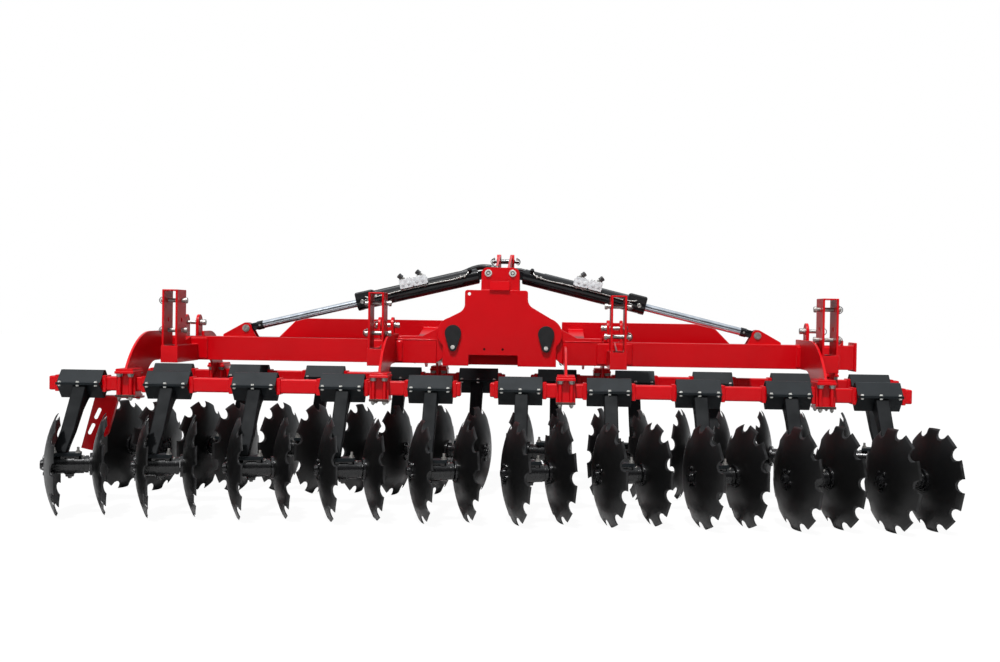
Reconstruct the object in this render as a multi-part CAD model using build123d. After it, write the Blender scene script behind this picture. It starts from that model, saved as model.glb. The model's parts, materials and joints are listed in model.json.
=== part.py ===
from build123d import *
from math import asin, atan2, cos, degrees, hypot, pi, radians, sin, sqrt
import os

# A folding compact disc harrow, carried on a tractor's three-point hitch. Two wings hinge on a centre frame
# and fold upwards. Each wing carries two gang tubes, one behind the other. Notched dished discs work in pairs
# on rubber-sprung arms that are clamped to the tubes. The front row mirrors the rear row.
# Millimetres. X is across the machine, +Y is the way it travels and +Z is up. The ground is Z = 0.
# The origin is on the ground, in the middle of the length and the width. Places called y below are counted
# from the rear gang tube.

# ---- discs -------------------------------------------------------------------------------------------------
DISC_R = 280            # centre to the corners of the teeth
DISC_T = 6
DISH = 62               # depth of the dish, from the rim to the flat centre
FLAT_R = 78             # flat centre, which the hub's flange carries
TEETH = 10
NOTCH_R = 37            # half the mouth of a notch, and its depth
WORK_ANGLE = 17         # turn of the hub line from straight across
DISC_GAP = 250          # between the two discs of a pair, along the hub
FLANGE_R = 62
FLANGE_T = 14
NUT_R = 30
NUT_H = 24
RUN = 0.5               # running gap between the hub and the flanges

# ---- hubs and arms -----------------------------------------------------------------------------------------
HUB_R = 50
TRAIL = 350             # hub line behind the gang tube
HUB_SHIFT = 58          # hub's middle beside the arm's
SADDLE_L = 100          # block between the hub and the arm's foot
SADDLE_W = 76
FOOT_IN = 60            # foot plate, along the hub, towards its free side
FOOT_OUT = 98           # and towards the arm
FOOT_W = 100
FOOT_T = 16
WELD = 4                # the foot plate is sunk this far into the hub
ARM_W = 76
ARM_SHIFT = 8           # arm's middle beside the shell's, away from the disc
ARM_FOOT = 58           # arm's depth at the foot
ARM_LEAN = 6            # foot of the arm behind the hub line
ARM_INSET = 5           # arm's top behind the lower shell's slope
ARM_REVEAL = 3          # and above its flat ridge

# ---- gang tubes and the shells that grip them --------------------------------------------------------------
TUBE = 80               # square gang tube
TUBE_Z = 704
TUBE_LAP = 185          # tube's outer end beyond the last arm
TUBE_LAP_IN = 172       # and its inner end before the first
SHELL_L = 250
SHELL_T = 7
SHELL_FIT = 0.3         # between the tube's corners and the shells
SHELL_FLANGE = 20
SHELL_TOP = 76          # flat ridge of the upper shell, above the tube's centre
SHELL_FOOT = 85         # flat ridge of the lower shell, below it
COLLAR_L = 22
COLLAR_H = 7
COLLAR_FIT = 0.5
ARM_PITCH = 500
ARMS = 5
ROW_PITCH = 1065        # front gang tube ahead of the rear one
FIRST_FAR = 362         # first arm from the middle, where the row starts further out
FIRST_NEAR = 147

# ---- wing frame --------------------------------------------------------------------------------------------
BEAM_W = 150            # main beam, fore and aft
BEAM_H = 147
BEAM_Z = 896            # main beam's centre
BEAM_Y = 657            # its rear face
BEAM_IN = 390
BEAM_OUT = 2170
FORE_Y = 1250           # rear face of the fore beam
FORE_W = 120
FORE_H = 147
FORE_TURN = 1370        # where the fore beam's top turns down to the main beam's level
LINK = 100              # tubes that join the two beams
LINK_IN = 480
LINK_OUT = 1530
END_PLATE = 15
END_LIP = 10
END_TOP = 20            # end plate above the main beam
FORE_TOE = 40           # length of the fore beam's foot at the main beam's level

# ---- hangers, from the main beam to the gang tubes ---------------------------------------------------------
HANG_OUTER = 2097       # first of the row that starts further out
HANG_INNER = 650
HANG_NEAR = 403         # first of the row that starts nearer the middle
HANG_WIDE = 1850
WEB_T = 15
WEB_TOP = 1002
WEB_TOP_LOW = 942       # beside the hinge
WEB_HEEL = 62           # web's foot behind the tube's centre
WEB_BEND = 380          # where the rear web's top turns down
TOE_Z = 728
TOE_REAR = 284
TOE_FRONT = 170
THROAT = 480            # where the rear web's lower edge turns down
CLAMP_W = 110
CLAMP_WALL = 18
CLAMP_H = 60            # clamp's body above and below the tube's centre
CLAMP_PLATE = 14
CLAMP_LIP = 80
CLAMP_STEP = 5          # the web's foot plate is this much smaller than the plate under it
CLAMP_FIT = 0.2

# ---- brackets for a roller ---------------------------------------------------------------------------------
POST_XS = (709, 1928)
STUB = 100
STUB_Z = 870
STUB_Y = 205            # rear end of the stub tubes
POST_GAP = 68
POST_T = 12
POST_D = 185
POST_TOP = 1243
POST_CAP = 8
POST_PIN_ZS = (1187, 1010)
POST_HOLE_Z = 1073      # the hole between the pins stays free
POST_PIN_Y = 300
PIN_R = 12.5
PIN_FIT = 0.1
PIN_OVER = 34           # pin beyond the plates
EAR_T = 18
EAR_GAP = 62
EAR_R = 50
EAR_Z = 1055
GUSSET_T = 10
PAD_T = 8               # doubler plate between the stub and the beam
PAD_W = 214
PAD_H = 124

# ---- centre frame ------------------------------------------------------------------------------------------
PIVOT_X = 287
PIVOT_Z = 1013
PIVOT_R = 25
PIVOT_FIT = 0.05
LOBE_R = 98
SIDE_X = 350
CHEEK_T = 20            # centre frame's cross plates
CHEEK_FIT = 6           # between a cross plate and the wing's knuckle
KNUCKLE_R = 80
KNUCKLE_T = 25
KNUCKLE_TUBE_R = 42
KNUCKLE_OUT = 630       # knuckle plates' outer end
KNUCKLE_TURN = radians(53)      # where a knuckle's underside leaves its round end, from straight inwards
KNUCKLE_TOP = 990
FACE_L = -217           # upper part of the rear plate, which stands further out on the left
FACE_R = 172
FACE_TOP = 1280
FACE_BOTTOM = 812
SHOULDER_L = 1157
SHOULDER_R = 1192
SHOULDER_X = 344
SHOULDER_Z = 1092
SHOULDER_ROUND = 60     # hollow corner above each shoulder
CORNER_ROUND = 16
CUT_L = -190
CUT_R = 113
CUT_TOP = 879
SLING_X = -190          # small hole in the rear plate's top corner
SLING_Z = 1256
SLING_R = 10
PLATE_TOP = 1110        # tops of the other cross plates
SPINE_IN = 75           # two spine tubes join the cross plates
SPINE_OUT = 195
SPINE_BOTTOM = 880
SPINE_TOP = 1000
CAP_R = 50              # caps on the hinge pins
CAP_T = 18
KEEPER_Z = 926
KEEPER_R = 17

# ---- mast and hitch ----------------------------------------------------------------------------------------
MAST_X = 117            # half width of a mast plate at its top
MAST_FOOT = 122         # and at its foot
MAST_TOP = 1421
MAST_ROUND = 38
MAST_T = 20
WEDGE_X = 56
WEDGE_TOP = 1330
CROSS_X = 560
CROSS = 100
CROSS_Z = 930
HITCH_Y = 1640          # lower link pins, each through two plates and out beyond the outer one
HITCH_Z = 809
HITCH_X = 482           # middle of the gap between the two plates
HITCH_GAP = 108
HITCH_PLATE = 16
HITCH_R = 50
BRACKET_LIP = 20        # bracket above and below the cross tube
HITCH_PIN_R = 14.2      # pin through the plates
HITCH_BUSH_R = 18.3     # bush on the pin, which the tractor's lower link takes
HITCH_FREE = 52         # the bush outside the outer plate
HITCH_END = 24          # pin beyond its bushes, where its clips go through
BUSH_PLAY = 0.5
TOP_Y = 1560
TOP_Z = 1494
TOP_GAP = 62
TOP_EAR = 28
TOP_R = 49
TOP_PIN_R = 12.7
TOP_END_R = 12          # pin's ends outside the ears
TOP_PIN_L = 182
TOP_BUSH_R = 15.9
BRACE_T = 16
BRACE_RIM = 60          # what a brace's cut-out leaves

# ---- folding cylinders -------------------------------------------------------------------------------------
BARREL_X = 75           # base pin
BARREL_Z = 1386
EYE_X = 1587            # rod's eye
EYE_Z = 1023
EYE_R = 36
EYE_W = 50
BASE_W = 60
BASE_PLAY = 0.5         # between the base eye and the bosses beside it
BOSS_R = 29
BORE_R = 48             # outside of the barrel
GLAND_R = 50
GLAND_L = 34
ROD_R = 24
ROD_FIT = 0.3
ROD_IN = 690            # rod's inner end, from the base pin
NECK = 66               # base pin to the barrel's closed end
NECK_H = 54
BARREL_END = 6          # thickness of the closed end
BARREL_L = 845          # base pin to the gland's end
LUG_GAP = 62
LUG_T = 14
LUG_IN = 1522
LUG_OUT = 1731
LUG_TOE = 14            # height of a lug's outer end
LUG_LEAN = radians(23)  # where its sloping back leaves the round end
CYL_PIN_R = 17.5
PIN_HEAD = 12           # heads of the cylinders' pins
PIN_BRIM = 5
BLOCK_S = 385           # valve block on the barrel's top, from the base pin
BLOCK_L = 170
BLOCK_W = 60
BLOCK_H = 58
NIPPLE_R = 13
NIPPLE_H = 26

# ---- side deflector, on the left ---------------------------------------------------------------------------
SHIELD_Y = 110
SHIELD_T = 8
SHIELD_POINTS = ((-2196, 628), (-2256, 414), (-2326, 300), (-2412, 318), (-2330, 628))
SHIELD_SLOTS = ((-2316, 520), (-2352, 430))     # middles of the slots
SLOT_L = 70
SLOT_W = 22
SLOT_LEAN = 65          # degrees
RIB_T = 28
RIB_W = 12
STRAP_L = 50            # strap under the clamp, back from its edge
STRAP_T = 12

half_notch = asin(NOTCH_R / DISC_R)
HUB_Z = DISC_R * cos(half_notch)                # a disc stands on two corners
RIM_BACK = DISC_GAP / 2 + DISC_T - DISH         # rim of the disc at the convex end, from the hub's middle
turn = radians(WORK_ANGLE)
REAR_REACH = TRAIL + RIM_BACK * sin(turn) + DISC_R * cos(half_notch) * cos(turn)
FRONT_REACH = HITCH_Y + HITCH_R
REAR_Y = (REAR_REACH - FRONT_REACH) / 2         # the rear gang tube
SHELL_IN = TUBE + SHELL_FIT * sqrt(2)           # half diagonals of the shells' diamond
SHELL_OUT = SHELL_IN + SHELL_T * sqrt(2)
BEAM_TOP = BEAM_Z + BEAM_H / 2
BEAM_BOTTOM = BEAM_Z - BEAM_H / 2
FOOT_Z = TUBE_Z + CLAMP_H + CLAMP_PLATE         # where a web's foot plate lies
MID_Y = BEAM_Y + BEAM_W / 2                     # the cylinders' plane
REAR_PLATE_Y = BEAM_Y + 1 - CHEEK_FIT - CHEEK_T
CHEEK_YS = (
    REAR_PLATE_Y,
    BEAM_Y + BEAM_W - 1 + CHEEK_FIT,
    FORE_Y - CHEEK_FIT - CHEEK_T,
    FORE_Y + FORE_W + CHEEK_FIT,
)
CROSS_Y = CHEEK_YS[3] + CHEEK_T
SIDES = (("left", -1), ("right", 1))


def save(shape, node):
    """Writes one node."""
    os.makedirs("parts", exist_ok=True)
    solids = ShapeList()
    for piece in shape if isinstance(shape, (list, tuple)) else [shape]:
        solids += piece.solids()
    export_step(Compound(children=[Solid(s.wrapped) for s in solids]), f"parts/{node}.step")


def block(x0, x1, y0, y1, z0, z1):
    """A box between two corners."""
    box = Box(abs(x1 - x0), y1 - y0, z1 - z0)
    return Pos((x0 + x1) / 2, REAR_Y + (y0 + y1) / 2, (z0 + z1) / 2) * box


def plate_x(face, x, thickness):
    """A plate across X with its middle at x, from a face drawn in (y, Z)."""
    return Pos(x - thickness / 2, REAR_Y, 0) * extrude(Plane.YZ * face, thickness)


def plate_y(face, y, thickness):
    """A plate across Y with its rear side at y, from a face drawn in (X, Z)."""
    return Pos(0, REAR_Y + y, 0) * extrude(Plane.XZ * face, -thickness)


def rod_x(x0, x1, y, z, radius):
    """A round bar along X."""
    return Pos((x0 + x1) / 2, REAR_Y + y, z) * Rot(0, 90, 0) * Cylinder(radius, abs(x1 - x0))


def rod_y(x, y0, y1, z, radius):
    """A round bar along Y."""
    return Pos(x, REAR_Y + (y0 + y1) / 2, z) * Rot(90, 0, 0) * Cylinder(radius, y1 - y0)


def face_of(*points):
    """A face inside straight edges."""
    return make_face(Polyline(*points, close=True))


def mirrored(shapes, side):
    """Shapes modelled on the right, for either side."""
    if side > 0:
        return shapes
    return [mirror(shape, about=Plane.YZ) for shape in shapes]


def row_places(side):
    """Rows of a wing, rear and front: its name, arm places from the middle, tube's y, and hanger places."""
    far = [FIRST_FAR + ARM_PITCH * k for k in range(ARMS)]
    near = [FIRST_NEAR + ARM_PITCH * k for k in range(ARMS)]
    far_hangers = (HANG_OUTER, HANG_INNER)
    near_hangers = (HANG_WIDE, HANG_NEAR)
    if side > 0:
        return (("rear", near, 0, near_hangers), ("front", far, ROW_PITCH, far_hangers))
    return (("rear", far, 0, far_hangers), ("front", near, ROW_PITCH, near_hangers))


# ---- discs -------------------------------------------------------------------------------------------------
def notched_disc():
    """One dished disc about Z, hollow side down, the flat centre's inside at Z = 0. Each tooth is plane."""
    edge = DISC_R * cos(pi / TEETH - half_notch)
    flat = FLAT_R * cos(pi / TEETH)
    slope = atan2(DISH, edge - flat)
    wall = DISC_T / cos(slope)
    base = RegularPolygon(edge, TEETH, major_radius=False)
    cone = extrude(base, DISH)
    facet = Plane(origin=(edge, 0, 0), x_dir=(0, 1, 0), z_dir=(sin(slope), 0, cos(slope)))
    above = facet * Pos(0, 0, DISH) * Box(2 * DISC_R, 2 * DISC_R, 2 * DISH)
    for k in range(TEETH):
        cone -= Rot(0, 0, 360 / TEETH * (k + 0.5)) * above
    shell = cone + Pos(0, 0, -wall) * extrude(base, wall) - Pos(0, 0, -wall) * cone
    corner = Vector(DISC_R * cos(half_notch), NOTCH_R)
    waist = Vector(corner.X - NOTCH_R * sin(pi / 4), NOTCH_R * cos(pi / 4))
    out = waist + (corner - waist) * 2.5
    bite = face_of(
        (out.X, out.Y), (waist.X, waist.Y), (corner.X - NOTCH_R, 0), (waist.X, -waist.Y), (out.X, -out.Y)
    )
    cutter = Pos(0, 0, -DISH) * extrude(bite, 3 * DISH)
    for k in range(TEETH):
        shell -= Rot(0, 0, 360 / TEETH * k) * cutter
    return Pos(0, 0, DISC_T - DISH) * shell


def disc_pair():
    """Both discs of a pair about Z, convex sides up, at their places on the hub, whose middle is Z = 0."""
    disc = notched_disc()
    flange = extrude(RegularPolygon(FLANGE_R, TEETH), FLANGE_T)
    nut = extrude(RegularPolygon(NUT_R, 6), NUT_H)
    upper = disc + Pos(0, 0, -FLANGE_T) * flange + Pos(0, 0, DISC_T) * nut
    lower = disc + Pos(0, 0, DISC_T) * flange + Pos(0, 0, -NUT_H) * nut
    return [Pos(0, 0, DISC_GAP / 2) * upper, Pos(0, 0, -DISC_GAP / 2) * lower]


def hub_place(x, y, step):
    """Where a hub's middle is and how it is turned about the vertical."""
    return Pos(x + step * HUB_SHIFT, REAR_Y + y - TRAIL, HUB_Z) * Rot(0, 0, step * WORK_ANGLE)


def axle_place(x, y, step):
    """The same place with its Z axis along the axle, pointing to the convex side of the discs."""
    return hub_place(x, y, step) * Rot(0, -90 * step, 0)


def save_discs(pair):
    """A node for each pair of discs. The pairs stand at different turns, as they come to rest."""
    for name, side in SIDES:
        for row, places, y, _ in row_places(side):
            step = 1 if row == "rear" else -1
            for k, place in enumerate(places):
                spin = Rot(0, 0, 180 / TEETH * ((k * 3 + len(row)) % 4 < 2))
                where = axle_place(side * place, y, step) * spin
                save([where * disc for disc in pair], f"{name}_{row}_discs_{k + 1}")


# ---- arms and shells ---------------------------------------------------------------------------------------
def shell_face(ridge, way):
    """Half of the diamond shell round a gang tube, about the tube's centre. way is 1 above, -1 below."""
    flange = SHELL_OUT + SHELL_FLANGE - SHELL_T
    half = [
        (SHELL_IN - ridge + SHELL_T, ridge - SHELL_T), (SHELL_IN, 0),
        (flange, 0), (flange, SHELL_T), (SHELL_OUT - SHELL_T, SHELL_T), (SHELL_OUT - ridge, ridge),
    ]
    other = [(-y, z) for y, z in reversed(half)]
    return face_of(*[(y, way * z) for y, z in half + other])


def arm(x, y, step):
    """Lower shell, trailing arm, foot and hub of one pair of discs."""
    lower = Pos(x - SHELL_L / 2, REAR_Y + y, TUBE_Z) * extrude(Plane.YZ * shell_face(SHELL_FOOT, -1), SHELL_L)
    wall = (SHELL_IN + SHELL_OUT) / 2
    drop = TUBE_Z - HUB_Z - HUB_R - FOOT_T
    heel = TRAIL + ARM_LEAN + ARM_FOOT / 2
    leg = face_of(                                              # (behind the tube, below it)
        (SHELL_OUT, SHELL_T / 2), (wall - SHELL_T, SHELL_T),
        (wall - SHELL_FOOT + ARM_INSET, SHELL_FOOT - ARM_INSET),
        (SHELL_FOOT - wall, SHELL_FOOT - ARM_REVEAL), (heel - ARM_FOOT, drop), (heel, drop),
    )
    side_on = Plane(
        origin=(x + step * ARM_SHIFT - ARM_W / 2, REAR_Y + y, TUBE_Z), x_dir=(0, -1, 0), z_dir=(1, 0, 0)
    )
    hub_at = hub_place(x, y, step)
    saddle = Pos(0, 0, HUB_R / 2) * Box(SADDLE_L, SADDLE_W, HUB_R)
    plate = Pos(step * (FOOT_IN - FOOT_OUT) / 2, 0, HUB_R + (FOOT_T - WELD) / 2)
    plate *= Box(FOOT_IN + FOOT_OUT, FOOT_W, FOOT_T + WELD)
    convex_end = DISC_GAP / 2 - FLANGE_T - RUN
    far_end = DISC_GAP / 2 - DISC_T - FLANGE_T - RUN
    hub = Pos(0, 0, (convex_end - far_end) / 2) * Cylinder(HUB_R, convex_end + far_end)
    whole = lower + extrude(side_on * leg, ARM_W) + hub_at * (saddle + plate)
    return whole + axle_place(x, y, step) * hub


def save_arms(name, side):
    """Arms and upper shells of a wing."""
    upper_face = Plane.YZ * shell_face(SHELL_TOP, 1)
    arms = []
    shells = []
    for row, places, y, _ in row_places(side):
        step = 1 if row == "rear" else -1
        for place in places:
            x = side * place
            arms.append(arm(x, y, step))
            shells.append(Pos(x - SHELL_L / 2, REAR_Y + y, TUBE_Z) * extrude(upper_face, SHELL_L))
    save(arms, f"{name}_arms")
    save(shells, f"{name}_shells")


def save_gang_tubes(name, side):
    """Two square tubes with the collars that keep the shells from sliding."""
    tubes = []
    collar = TUBE / 2 + COLLAR_H
    for _, places, y, _ in row_places(side):
        x0 = places[0] - TUBE_LAP_IN
        x1 = places[-1] + TUBE_LAP
        tube = block(x0, x1, y - TUBE / 2, y + TUBE / 2, TUBE_Z - TUBE / 2, TUBE_Z + TUBE / 2)
        for place in places:
            for way in (-1, 1):
                near = place + way * (SHELL_L / 2 + COLLAR_FIT)
                far = near + way * COLLAR_L
                tube += block(near, far, y - collar, y + collar, TUBE_Z - collar, TUBE_Z + collar)
        tubes.append(tube)
    save(mirrored(tubes, side), f"{name}_gang_tubes")


# ---- hangers -----------------------------------------------------------------------------------------------
def web_face(reach, over, bend, toe, throat, top):
    """A hanger's web from the beam to the clamp, drawn in (distance from the tube towards the beam, Z)."""
    foot = FOOT_Z + CLAMP_PLATE
    lip = CLAMP_LIP + CLAMP_PLATE
    crown = [(bend, top), (reach, top)]
    if top > BEAM_TOP:
        crown = [(bend, top), (over, top), (over, BEAM_TOP), (reach, BEAM_TOP)]
    return make_face(
        Polyline(*crown, (reach, BEAM_BOTTOM), (throat, BEAM_BOTTOM))
        + TangentArc((throat, BEAM_BOTTOM), (toe, TOE_Z), tangent=(-1, 0))
        + Polyline((toe, TOE_Z), (lip, TOE_Z), (lip, foot), (-WEB_HEEL, foot))
        + TangentArc((bend, top), (-WEB_HEEL, foot), tangent=(-1, 0))
    )


def hanger(x, y, web):
    """A web on its foot plate, and the clamp that holds the gang tube."""
    lip = CLAMP_LIP + CLAMP_PLATE
    z0 = TUBE_Z - CLAMP_H
    z1 = TUBE_Z + CLAMP_H
    half = CLAMP_W / 2
    upper = half - CLAMP_STEP
    wall = TUBE / 2 + CLAMP_WALL
    bore = TUBE / 2 + CLAMP_FIT
    shape = plate_x(Pos(y, 0) * web, x, WEB_T)
    shape += block(x - half, x + half, y - lip, y + lip, z1, FOOT_Z)
    lip -= CLAMP_STEP
    shape += block(x - upper, x + upper, y - lip, y + lip, FOOT_Z, FOOT_Z + CLAMP_PLATE)
    shape += block(x - half, x + half, y - wall, y + wall, z0, z1)
    shape += block(x - half, x + half, y - CLAMP_LIP, y + CLAMP_LIP, z0 - CLAMP_PLATE, z0)
    return shape - block(x - CLAMP_W, x + CLAMP_W, y - bore, y + bore, TUBE_Z - bore, TUBE_Z + bore)


def save_hangers(name, side):
    """Four hangers of a wing. A web beside the hinge keeps low, and the others run on over the beam."""
    fore_reach = ROW_PITCH - BEAM_Y - BEAM_W
    hangers = []
    for row, _, y, places in row_places(side):
        for place in places:
            top = WEB_TOP_LOW if place == HANG_NEAR else WEB_TOP
            if row == "rear":
                reach = BEAM_Y - PAD_T if place in (HANG_INNER, HANG_WIDE) else BEAM_Y
                web = web_face(reach, BEAM_Y + BEAM_W, WEB_BEND, TOE_REAR, THROAT, top)
            else:
                over = ROW_PITCH - BEAM_Y
                web = web_face(fore_reach, over, fore_reach - 1, TOE_FRONT, fore_reach - 1, top)
                web = mirror(web, about=Plane.YZ)
            hangers.append(hanger(place, y, web))
    save(mirrored(hangers, side), f"{name}_hangers")


# ---- wing frame --------------------------------------------------------------------------------------------
def knuckle(y, depth):
    """Two lobed plates and the tube between them, which turn on a hinge pin."""
    lobe = Pos(PIVOT_X, PIVOT_Z) * Circle(KNUCKLE_R)
    tail = face_of(
        (PIVOT_X, PIVOT_Z + KNUCKLE_R), (LINK_IN, KNUCKLE_TOP), (KNUCKLE_OUT, KNUCKLE_TOP),
        (KNUCKLE_OUT, BEAM_TOP - END_LIP), (BEAM_IN + END_LIP, BEAM_BOTTOM + END_LIP),
        (BEAM_IN - END_LIP, BEAM_BOTTOM + END_LIP),
        (PIVOT_X - KNUCKLE_R * cos(KNUCKLE_TURN), PIVOT_Z - KNUCKLE_R * sin(KNUCKLE_TURN)),
    )
    face = lobe + tail
    shape = plate_y(face, y, KNUCKLE_T) + plate_y(face, y + depth - KNUCKLE_T, KNUCKLE_T)
    shape += rod_y(PIVOT_X, y + KNUCKLE_T, y + depth - KNUCKLE_T, PIVOT_Z, KNUCKLE_TUBE_R)
    return shape - rod_y(PIVOT_X, y - 1, y + depth + 1, PIVOT_Z, PIVOT_R + PIVOT_FIT)


def cylinder_lug(y):
    """One plate of the pair that holds the rod's pin."""
    ear = Pos(EYE_X, EYE_Z) * Circle(EYE_R)
    foot = face_of(
        (LUG_IN, BEAM_TOP), (LUG_OUT, BEAM_TOP), (LUG_OUT, BEAM_TOP + LUG_TOE),
        (EYE_X + EYE_R * sin(LUG_LEAN), EYE_Z + EYE_R * cos(LUG_LEAN)), (EYE_X - EYE_R, EYE_Z),
    )
    return plate_y(ear + foot, y, LUG_T)


def save_wing_frame(name, side):
    """Main beam, fore beam and the tubes between, with knuckles at the hinge and lugs for the cylinder."""
    top = BEAM_TOP
    bottom = BEAM_BOTTOM
    frame = block(BEAM_IN, BEAM_OUT, BEAM_Y, BEAM_Y + BEAM_W, bottom, top)
    frame += block(
        BEAM_OUT, BEAM_OUT + END_PLATE, BEAM_Y - END_LIP, BEAM_Y + BEAM_W + END_LIP,
        bottom - END_LIP, top + END_TOP,
    )
    fore_top = PIVOT_Z + FORE_H / 2
    fore_bottom = PIVOT_Z - FORE_H / 2
    drop = fore_top - top
    bend = FORE_H * (sqrt(2) - 1)
    toe = FORE_TURN + drop + FORE_H
    fore = face_of(
        (BEAM_IN, fore_bottom), (BEAM_IN, fore_top), (FORE_TURN, fore_top),
        (toe, bottom), (toe - FORE_H * sqrt(2) + FORE_TOE, bottom), (FORE_TURN - bend, fore_bottom),
    )
    frame += plate_y(fore, FORE_Y, FORE_W)
    y0 = BEAM_Y + BEAM_W
    link = face_of(
        (y0 - 1, top - LINK), (y0 - 1, top), (FORE_Y + 1, fore_bottom + LINK), (FORE_Y + 1, fore_bottom)
    )
    frame += plate_x(link, LINK_IN, LINK)
    frame += block(LINK_OUT - LINK / 2, LINK_OUT + LINK / 2, y0 - 1, FORE_Y + 1, bottom, bottom + LINK)
    frame += knuckle(BEAM_Y + 1, BEAM_W - 2)
    frame += knuckle(FORE_Y, FORE_W)
    for y in (MID_Y - LUG_GAP / 2 - LUG_T, MID_Y + LUG_GAP / 2):
        frame += cylinder_lug(y)
    save(mirrored([frame], side), f"{name}_wing_frame")


# ---- roller brackets ---------------------------------------------------------------------------------------
def roller_bracket(x):
    """A stub tube behind the beam, a pair of drilled posts on it and a pair of ears on the beam."""
    z0 = STUB_Z - STUB / 2
    z1 = STUB_Z + STUB / 2
    hole = PIN_R + PIN_FIT
    stub = block(x - STUB / 2, x + STUB / 2, STUB_Y, BEAM_Y, z0, z1)
    half = PAD_W / 2
    stub += block(x - half, x + half, BEAM_Y - PAD_T, BEAM_Y, BEAM_Z - PAD_H / 2, BEAM_Z + PAD_H / 2)
    ear = Pos(BEAM_Y + EAR_R, EAR_Z) * (Circle(EAR_R) - Circle(hole))
    ear += face_of(
        (BEAM_Y, BEAM_TOP), (BEAM_Y, EAR_Z), (BEAM_Y + hole * 2, EAR_Z - hole * 2),
        (BEAM_Y + 2 * EAR_R - hole * 2, EAR_Z - hole * 2), (BEAM_Y + 2 * EAR_R, EAR_Z),
        (BEAM_Y + 2 * EAR_R, BEAM_TOP),
    )
    post = Pos(STUB_Y + POST_D / 2, (z1 + POST_TOP) / 2) * Rectangle(POST_D, POST_TOP - z1)
    for z in (*POST_PIN_ZS, POST_HOLE_Z):
        post -= Pos(POST_PIN_Y, z) * Circle(hole)
    for way in (-1, 1):
        stub += plate_x(post, x + way * (POST_GAP + POST_T) / 2, POST_T)
    half = POST_GAP / 2 + POST_T
    stub += block(x - half, x + half, STUB_Y, STUB_Y + POST_D, POST_TOP, POST_TOP + POST_CAP)
    gusset = face_of((BEAM_Y, z1 + STUB * 0.5), (BEAM_Y, z1), (STUB_Y + POST_D, z1))
    stub += plate_x(gusset, x, GUSSET_T)
    ears = [plate_x(ear, x + way * (EAR_GAP + EAR_T) / 2, EAR_T) for way in (-1, 1)]
    return [stub, *ears]


def save_roller_brackets(name, side):
    """Brackets that a roller can be hung from, and their pins, with the cylinder's outer pin ends."""
    brackets = []
    pins = []
    reach = POST_GAP / 2 + POST_T + PIN_OVER
    for x in POST_XS:
        brackets += roller_bracket(x)
        for z in POST_PIN_ZS:
            pins.append(rod_x(x - reach, x + reach, POST_PIN_Y, z, PIN_R))
        inner = x - EAR_GAP / 2 - EAR_T - PIN_OVER
        outer = x + EAR_GAP / 2 + EAR_T + PIN_OVER / 2
        pins.append(rod_x(inner, outer, BEAM_Y + EAR_R, EAR_Z, PIN_R))
    for y0 in (MID_Y - LUG_GAP / 2 - LUG_T - PIN_HEAD, MID_Y + LUG_GAP / 2 + LUG_T):
        pins.append(rod_y(EYE_X, y0, y0 + PIN_HEAD, EYE_Z, CYL_PIN_R + PIN_BRIM))
    save(mirrored(brackets, side), f"{name}_roller_brackets")
    save(mirrored(pins, side), f"{name}_bracket_pins")


# ---- deflector ---------------------------------------------------------------------------------------------
def save_deflector():
    """A slotted sheet on a rib, hung from the outer rear clamp on the left."""
    sheet = face_of(*SHIELD_POINTS)
    for x, z in SHIELD_SLOTS:
        sheet -= Pos(x, z) * Rot(0, 0, SLOT_LEAN) * SlotOverall(SLOT_L, SLOT_W)
    y = SHIELD_Y
    shape = plate_y(sheet, y, SHIELD_T)
    (x0, z0), (x1, z1), (x2, z2) = SHIELD_POINTS[:3]
    rib = face_of((x0, z0), (x1, z1), (x2, z2), (x2 + RIB_W, z2), (x1 + RIB_W, z1), (x0 + RIB_W, z0))
    shape += plate_y(rib, y - RIB_T, RIB_T + SHIELD_T)
    clamp_out = -HANG_OUTER - CLAMP_W / 2
    base = TUBE_Z - CLAMP_H - CLAMP_PLATE
    strap_y = CLAMP_LIP - STRAP_L
    shape += block(SHIELD_POINTS[4][0], clamp_out + CLAMP_W, strap_y, y + SHIELD_T, base - STRAP_T, base)
    save(shape, "side_deflector")


# ---- centre frame ------------------------------------------------------------------------------------------
def lobes():
    """What every cross plate has: two lobes round the hinge pins and the legs under them."""
    face = Rectangle(2 * SIDE_X, PIVOT_Z - FACE_BOTTOM, align=(Align.CENTER, Align.MIN))
    face = Pos(0, FACE_BOTTOM) * face
    for way in (-1, 1):
        face += Pos(way * PIVOT_X, PIVOT_Z) * Circle(LOBE_R)
    return face


def pierced(face):
    """The holes for the hinge pins."""
    for way in (-1, 1):
        face -= Pos(way * PIVOT_X, PIVOT_Z) * Circle(PIVOT_R + PIVOT_FIT)
    return face


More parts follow.
